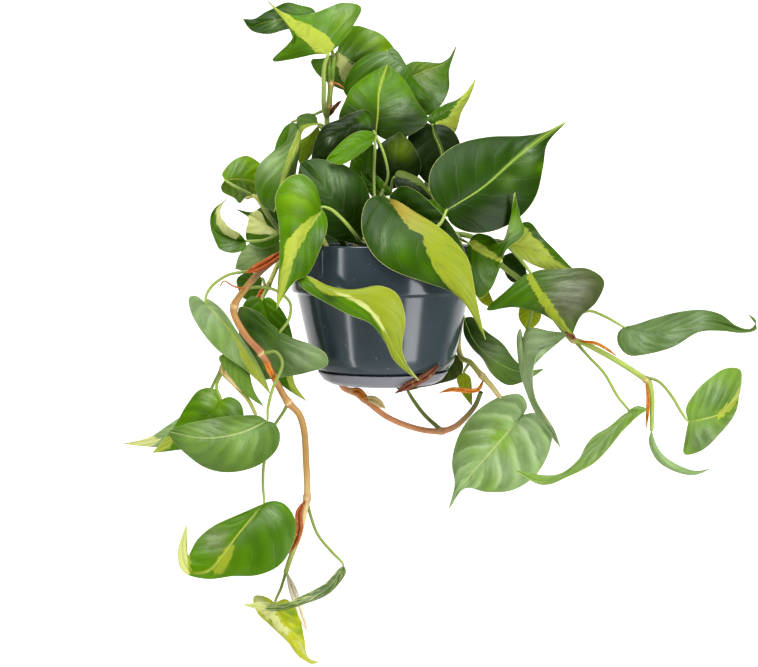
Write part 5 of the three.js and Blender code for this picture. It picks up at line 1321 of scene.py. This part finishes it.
class Look:
    # A material, built one node at a time
    def __init__(self, name):
        self.material = bpy.data.materials.new(name)
        self.material.use_nodes = True
        self.tree = self.material.node_tree
        self.tree.nodes.clear()

    def node(self, kind, settings=None, output=0, inputs=None):
        made = self.tree.nodes.new(kind)
        for key, value in (settings or {}).items():
            if key == "stops":
                while len(made.color_ramp.elements) < len(value):
                    made.color_ramp.elements.new(0.5)
                for element, (spot, colour) in zip(made.color_ramp.elements, value):
                    element.position, element.color = spot, colour
            else:
                setattr(made, key, value)
        pairs = inputs.items() if isinstance(inputs, dict) else enumerate(inputs or [])
        for key, value in pairs:
            if isinstance(value, Wire):
                self.tree.links.new(value.socket, made.inputs[key])
            else:
                made.inputs[key].default_value = value
        return None if output is None else Wire(self, made.outputs[output])

    def fact(self, name, output="Fac"):
        # What the points of a grown piece say
        return self.node("ShaderNodeAttribute", {"attribute_name": name}, output)

    def spot(self):
        return self.node("ShaderNodeTexCoord", None, "Object")

    def parts(self, vector):
        sockets = self.node("ShaderNodeSeparateXYZ", None, 0, [vector]).socket.node.outputs
        return [Wire(self, socket) for socket in sockets]

    def surface(self):
        # The place in the part, and the shares across and along a grown piece
        spot = self.spot()
        across, along, _ = self.parts(self.node("ShaderNodeUVMap", {"uv_map": "UVMap"}))
        return spot, across, along

    def noise(self, vector, scale, detail, roughness):
        inputs = {"Vector": vector, "Scale": scale, "Detail": detail, "Roughness": roughness}
        return self.node("ShaderNodeTexNoise", None, "Fac", inputs)

    def blend(self, share, one, other):
        # A Mix node of colours: its factor and two colours are the sockets 0, 6 and 7, its result is 2
        return self.node("ShaderNodeMix", {"data_type": "RGBA"}, 2, {0: share, 6: one, 7: other})

    def shaded(self, colour, value, saturation=1.0):
        inputs = {"Saturation": saturation, "Value": value, "Color": colour}
        return self.node("ShaderNodeHueSaturation", None, 0, inputs)

    def across(self, x, y, z=0.0):
        return self.node("ShaderNodeCombineXYZ", None, 0, [x, y, z])

    def bump(self, height, strength, distance):
        inputs = {"Height": height, "Strength": strength, "Distance": distance}
        return self.node("ShaderNodeBump", None, 0, inputs)

    def finish(self, **inputs):
        # Constants go on the shader's own sockets, and what varies is linked
        sockets = {key.replace("_", " "): value for key, value in inputs.items()}
        shader = self.node("ShaderNodeBsdfPrincipled", None, 0, sockets)
        self.node("ShaderNodeOutputMaterial", None, None, {"Surface": shader})
        return self.material


leafPaint = {
    "roughness": 0.36, "specular": 0.15, "saturation": 1.18, "driftScale": 90, "drift": 0.05,
    "streaks": (20, 2.4, 1.5), "hairs": (90, 5), "blotchScale": 45, "fineScale": 900,
    "light": 0.37, "blotch": 0.64, "streak": 0.34, "hair": 0.22, "leastReliefShading": 0.05, "reliefShading": 0.15,
    "flameLight": 0.62, "flameBlotch": 0.4, "flameStreak": 0.36, "ragged": 13, "raggedHair": 4,
    "vein": 0.2, "crestHighlight": 0.6, "leastSheen": 0.06, "sheen": 0.42, "band": 0.55, "olive": 0.5,
    "cream": 0.7, "edge": 0.8, "bump": 0.3, "bumpDepth": 0.0004,
}


def leafLook(name):
    paint = leafPaint
    look = Look(name)
    spot, across, along = look.surface()
    reach = (across - 0.5).sum("ABSOLUTE") * 2
    phase = along - reach * blades["veinSweep"]
    # Streaks run out from the midrib along the side veins
    drift = look.noise(spot, paint["driftScale"], 2, 0.5)
    phase = phase + (drift - 0.5) * paint["drift"]
    phaseScale, reachScale, alongScale = paint["streaks"]
    streakAt = look.across(phase * phaseScale, reach * reachScale, along * alongScale)
    streak = look.noise(streakAt, 1.0, 5, 0.62)
    phaseScale, reachScale = paint["hairs"]
    hair = look.noise(look.across(phase * phaseScale, reach * reachScale), 1.0, 3, 0.6)
    blotch = look.noise(spot, paint["blotchScale"], 3, 0.55)
    fine = look.noise(spot, paint["fineScale"], 3, 0.6)
    rib = look.fact("rib")
    tint = look.fact("tint", "Color")
    # Painted light and shade: each panel between two side veins is lighter on one side and darker in its
    # crease, and streaks follow the veins
    saw = (phase * blades["veinPairs"]).sum("FRACT")
    panel = (saw * 2 * math.pi).sum("SINE") * reach.between(0.05, 0.4) * (1 - reach.between(0.8, 1.0))
    creaseShade = (saw - 0.5).sum("ABSOLUTE").between(0.3, 0.5) * (1 - reach.between(0.8, 1.0))
    reliefShading = (panel - creaseShade * 0.6) * (paint["leastReliefShading"] + look.fact("veins") * paint["reliefShading"])
    light = paint["light"] + blotch * paint["blotch"] + streak * paint["streak"] + hair * paint["hair"]
    colour = look.shaded(tint, light + reliefShading, paint["saturation"])
    veins = (saw - 0.5).sum("ABSOLUTE").between(0.43, 0.5)
    veinShare = veins * look.fact("veins") * (1 - reach.between(0.7, 1.0)) * paint["vein"]
    colour = look.blend(veinShare, colour, tone("grey"))
    # Beside each side vein of a quilted leaf a painted highlight, blended towards the sheen tone
    crestHighlight = 1 - (saw - 0.2).sum("ABSOLUTE").between(0.02, 0.15)
    crestHighlight = crestHighlight * reach.between(0.03, 0.25) * (1 - reach.between(0.7, 0.95)) * streak.between(0.38, 0.6)
    crestHighlightShare = crestHighlight * look.fact("veins").between(0.5, 1.0) * paint["crestHighlight"]
    colour = look.blend(crestHighlightShare, colour, tone("sheen"))
    # Painted sheen where the plan sets shine: the blade is blended towards a pale grey-green
    shimmer = (streak * 0.75 + hair * 0.25).between(0.36, 0.7)
    sheenShare = look.fact("shine") * (paint["leastSheen"] + shimmer * paint["sheen"])
    colour = look.blend(sheenShare, colour, linear("#b9c6ac"))
    # Along the midrib runs a paler band
    accent = look.fact("accent", "Color")
    band = (rib + (streak - 0.5) * 1.6 * rib.between(0.2, 1.5)).between(-0.3, 0.4)
    colour = look.blend(band * paint["band"], colour, accent)
    # Lime and cream flames with feathered edges
    jag = ((streak - 0.5) * paint["ragged"] + (hair - 0.5) * paint["raggedHair"]) * look.fact("mottle")
    jag = jag + (fine - 0.5) * 0.8
    lime = (look.fact("lime") + jag).between(-0.4, 0.6)
    light = paint["flameLight"] + blotch * paint["flameBlotch"] + streak * paint["flameStreak"]
    flame = look.shaded(accent, light)
    olive = (blotch * 0.5 + streak * 0.5).between(0.44, 0.66) * paint["olive"]
    flame = look.blend(olive, flame, tone("olive"))
    colour = look.blend(lime, colour, flame)
    cream = (look.fact("cream") + jag * 0.5).between(-0.3, 0.9)
    colour = look.blend(cream * paint["cream"], colour, tone("cream"))
    # A thin pale line on the midrib, where the leaf has a band, and a pale rim
    thin = 1 - look.fact("middle").between(0.1, 0.6)
    wide = (rib + look.fact("middle")).between(0.1, 0.9)
    ribShare = thin * wide * (0.4 + streak * 0.5)
    colour = look.blend(ribShare, colour, tone("ribLine"))
    edge = (1 - look.fact("rim").between(0.06, 0.42)) * look.fact("edging") * paint["edge"]
    colour = look.blend(edge, colour, tone("cream"))
    height = fine * 0.25 + hair * 0.5 + streak * 0.6 + (panel - veins) * look.fact("veins") * 4
    gloss = paint["roughness"] + (blotch - 0.5) * 0.16 + (fine - 0.5) * 0.08
    return look.finish(Base_Color=colour, Roughness=gloss,
                       Normal=look.bump(height, paint["bump"], paint["bumpDepth"]),
                       Specular_IOR_Level=paint["specular"])


stemPaint = {"stripes": (9, 7), "blotchScale": 120, "fineScale": 1500, "scars": 0.4, "roughness": 0.36}


def stemLook(name):
    look = Look(name)
    spot, across, along = look.surface()
    acrossScale, alongScale = stemPaint["stripes"]
    stripe = look.noise(look.across(across * acrossScale, along * alongScale), 1.0, 4, 0.6)
    blotch = look.noise(spot, stemPaint["blotchScale"], 4, 0.6)
    fine = look.noise(spot, stemPaint["fineScale"], 3, 0.6)
    value = 0.28 + stripe * 0.85 + blotch * 0.42 + fine * 0.12
    tint = look.fact("tint", "Color")
    colour = look.shaded(tint, value)
    scar = (stripe * 0.5 + blotch * 0.5).between(0.52, 0.64) * stemPaint["scars"]
    colour = look.blend(scar, colour, look.blend(0.6, tint, tone("brown")))
    return look.finish(Base_Color=colour, Roughness=stemPaint["roughness"] + fine * 0.2,
                       Normal=look.bump(stripe + fine * 0.4, 0.35, 0.0005))


paperPaint = {"fibres": (30, 3), "blotchScale": 260, "straw": 0.4, "roughness": 0.62}


def paperLook(name):
    look = Look(name)
    spot, across, along = look.surface()
    acrossScale, alongScale = paperPaint["fibres"]
    fibre = look.noise(look.across(across * acrossScale, along * alongScale), 1.0, 4, 0.65)
    blotch = look.noise(spot, paperPaint["blotchScale"], 4, 0.6)
    value = 0.25 + fibre * 1.1 + blotch * 0.45
    colour = look.shaded(look.fact("tint", "Color"), value)
    colour = look.blend(blotch.between(0.55, 0.7) * paperPaint["straw"], colour, tone("straw"))
    return look.finish(Base_Color=colour, Roughness=paperPaint["roughness"] + fibre * 0.2,
                       Normal=look.bump(fibre + blotch, 0.6, 0.0006))


plastics = {
    "potPlastic": {"colour": "#36434b", "dark": "#242c31", "roughness": 0.12},
    "saucerPlastic": {"colour": "#85858f", "dark": "#6b6b76", "roughness": 0.32},
}


def plasticLook(name):
    # Glossy moulded plastic with dust specks, faint rub marks and dried water
    plastic = plastics[name]
    look = Look(name)
    spot = look.spot()
    cloud = look.noise(spot, 35, 4, 0.6)
    height = look.parts(spot)[2]
    speck = look.noise(spot, 420, 2, 0.4).between(0.74, 0.79)
    tall = look.node("ShaderNodeVectorMath", {"operation": "MULTIPLY"}, 0, [spot, (40, 40, 14)])
    rub = look.noise(tall, 1.0, 3, 0.5)
    base = look.blend(cloud * 0.5, linear(plastic["colour"]), linear(plastic["dark"]))
    base = look.blend(speck * 0.3, base, linear("#aab0b4"))
    stain = look.noise(spot, 90, 5, 0.7).between(0.58, 0.75) * (1 - height.between(-0.1, -0.085))
    base = look.blend(stain * 0.22, base, linear("#8f9094"))
    gloss = plastic["roughness"] + rub * 0.08 + speck * 0.25
    return look.finish(Base_Color=base, Roughness=gloss, Normal=look.bump(cloud, 0.04, 0.0006))


peatStops = [(0.3, "#1d130c"), (0.55, "#3c2a1b"), (0.75, "#6b4a2c")]


def soilLook(name):
    look = Look(name)
    spot = look.spot()
    grain = look.noise(spot, 420, 6, 0.7)
    patch = look.noise(spot, 70, 3, 0.5)
    stops = [(place, linear(colour)) for place, colour in peatStops]
    colour = look.node("ShaderNodeValToRGB", {"stops": stops}, 0, [grain * 0.7 + patch * 0.3])
    return look.finish(Base_Color=colour, Roughness=0.85 + grain * 0.12,
                       Normal=look.bump(grain, 0.8, 0.001))


def studioLook(name):
    # The far wall glows white, and the floor in front of it is pale paper that glows faintly too
    look = Look(name)
    far = look.parts(look.spot())[1].between(1.2, 2.6)
    glow = look.blend(far, (0.1, 0.1, 0.1, 1), (1, 1, 1, 1))
    return look.finish(Base_Color=linear("#e8e8e6"), Roughness=0.9, Emission_Color=glow,
                       Emission_Strength=1.0)


def makeCamera(sensor=36):
    # The photograph's viewing angle and frame
    camera = linked("camera", bpy.data.cameras.new("camera"))
    camera.data.sensor_width = sensor
    camera.data.lens = sensor * focal / view["width"]
    camera.data.clip_end = 40
    camera.location = eye
    camera.rotation_euler = (math.radians(90) - tilt, 0, 0)
    bpy.context.scene.camera = camera


# Studio: soft boxes at their places in metres, aimed at the pot, and a pale sweep of floor and wall
softBoxes = {
    "rightBox": {"azimuth": 44, "elevation": -6, "distance": 1.7, "size": (0.66, 1.7), "power": 24},
    "leftBox": {"azimuth": -52, "elevation": -14, "distance": 1.9, "size": (0.14, 2.0), "power": 9},
    "keyBox": {"azimuth": -28, "elevation": 48, "distance": 1.9, "size": (0.8, 0.8), "power": 21},
    "topBox": {"azimuth": 20, "elevation": 72, "distance": 1.8, "size": (1.0, 1.0), "power": 18},
    "backBox": {"azimuth": 165, "elevation": 40, "distance": 2.2, "size": (1.6, 1.2), "power": 20},
}
skyStrength = 0.15
# The floor lies well below the hanging vines and curves up into a wall far behind
sweep = {"floor": -1.3, "front": -4, "back": 4.5, "bend": 1.2, "halfWidth": 6, "length": 11, "steps": 60}


def makeStudio():
    scene = bpy.context.scene
    scene.view_settings.view_transform = "Standard"
    for name, box in softBoxes.items():
        light = bpy.data.lights.new(name, "AREA")
        light.shape = "RECTANGLE"
        light.size, light.size_y = box["size"]
        light.energy = box["power"]
        lamp = linked(name, light)
        turn, rise = math.radians(box["azimuth"]), math.radians(box["elevation"])
        away = Vector((math.sin(turn) * math.cos(rise), -math.cos(turn) * math.cos(rise), math.sin(rise)))
        lamp.location = aim + away * box["distance"]
        lamp.rotation_euler = away.to_track_quat("Z", "Y").to_euler()
    world = bpy.data.worlds.new("studio")
    world.use_nodes = True
    sky = world.node_tree.nodes["Background"].inputs
    sky["Color"].default_value = (1, 1, 1, 1)
    sky["Strength"].default_value = skyStrength
    scene.world = world
    bend = sweep["bend"]
    flatEnd = sweep["back"] - sweep["front"] - bend
    arc = bend * math.pi / 2
    bm = bmesh.new()
    bmesh.ops.create_grid(bm, x_segments=2, y_segments=sweep["steps"], size=1)
    for vert in bm.verts:
        path = (vert.co.y + 1) * sweep["length"] / 2
        turn = min(max(path - flatEnd, 0), arc) / bend
        vert.co = Vector((
            vert.co.x * sweep["halfWidth"],
            sweep["front"] + min(path, flatEnd) + math.sin(turn) * bend,
            sweep["floor"] + (1 - math.cos(turn)) * bend + max(path - flatEnd - arc, 0),
        ))
    paper = linked("studioSweep", meshOf(bm, "studioSweep"))
    for face in paper.data.polygons:
        face.use_smooth = True
    paper.data.materials.append(studioLook("studioPaper"))


makeCamera()
makeStudio()
print("camera and studio ready")

plantLooks = [leafLook("leafSkin"), stemLook("stemSkin"), paperLook("sheathPaper")]
potSkin, saucerSkin = plasticLook("potPlastic"), plasticLook("saucerPlastic")
soilSkin = soilLook("peat")


def onCircle(angle, radius, height):
    return Vector((radius * math.cos(angle), radius * math.sin(angle), height)) * mm


finishedPiece("potShell", potMesh(), [potSkin], "pot", "pot")
finishedPiece("saucerShell", [(saucerMesh(), 0)], [saucerSkin], "saucer", "saucer")
soilBody, soilEdge = soilMesh()
rng = random.Random(7)
spots = []
for _ in range(soil["crumbs"]):
    angle, radius = rng.uniform(0, 2 * math.pi), soilEdge * math.sqrt(rng.uniform(0, 0.93))
    height = soil["top"] - soil["dome"] * (radius / soilEdge) ** 2 - soil["crumbSink"]
    spots.append(onCircle(angle, radius, height))
soilParts = [(soilBody, 0), (crumbMesh(spots, soil["crumbSize"], rng), 0)]
finishedPiece("soilFill", soilParts, [soilSkin], "soil", "soil")
spots = [onCircle(rng.uniform(0, 2 * math.pi), groove["radius"], groove["height"])
         for _ in range(groove["crumbs"])]
finishedPiece("grooveCrumbs", [(crumbMesh(spots, groove["crumbSize"], rng), 0)], [soilSkin], "soil")
print("pot, saucer and soil made")


def grownOn(vine, plans):
    # The plans of what grows on a vine, each with its number, which is its seed
    return [(number, plan) for number, plan in enumerate(plans) if plan["vine"] == vine]


vineRoutes = {name: vineRoute(plan) for name, plan in vinePlans.items()}
for seed, (name, plan) in enumerate(leafPlans.items()):
    parts = leafMeshes(plan, vineRoutes[plan["vine"]], seed)
    finishedPiece(name.replace("_", "-"), parts, plantLooks, plan["slot"], name)
print("leaves made:", len(leafPlans))

for seed, (name, plan) in enumerate(vinePlans.items()):
    plan = {"nodes": [], **plan}
    route = vineRoutes[name]
    parts = [(vineMesh(plan, route), onStem)] + rootletMeshes(plan, route, random.Random(seed))
    for number, leaf in grownOn(name, smallLeafPlans):
        parts += leafMeshes(leaf, route, firstSeeds["small"] + number, small=True)
    for number, leaf in grownOn(name, backLeafPlans):
        parts += heartMeshes(leaf, route, firstSeeds["back"] + number)
    for number, sheath in grownOn(name, sheathPlans):
        parts.append((sheathMesh(sheath, firstSeeds["sheath"] + number), onSheath))
    parts += [(aerialRootMesh(aerial), onStem) for _, aerial in grownOn(name, rootPlans)]
    finishedPiece(name.replace("_", "-"), parts, plantLooks, plan["slot"], name)
print("vines made:", len(vinePlans))

loose = sheathMesh(looseSheath, firstSeeds["loose"])
finishedPiece("looseSheath", [(loose, onSheath)], plantLooks, "sheath", "loose_sheath")
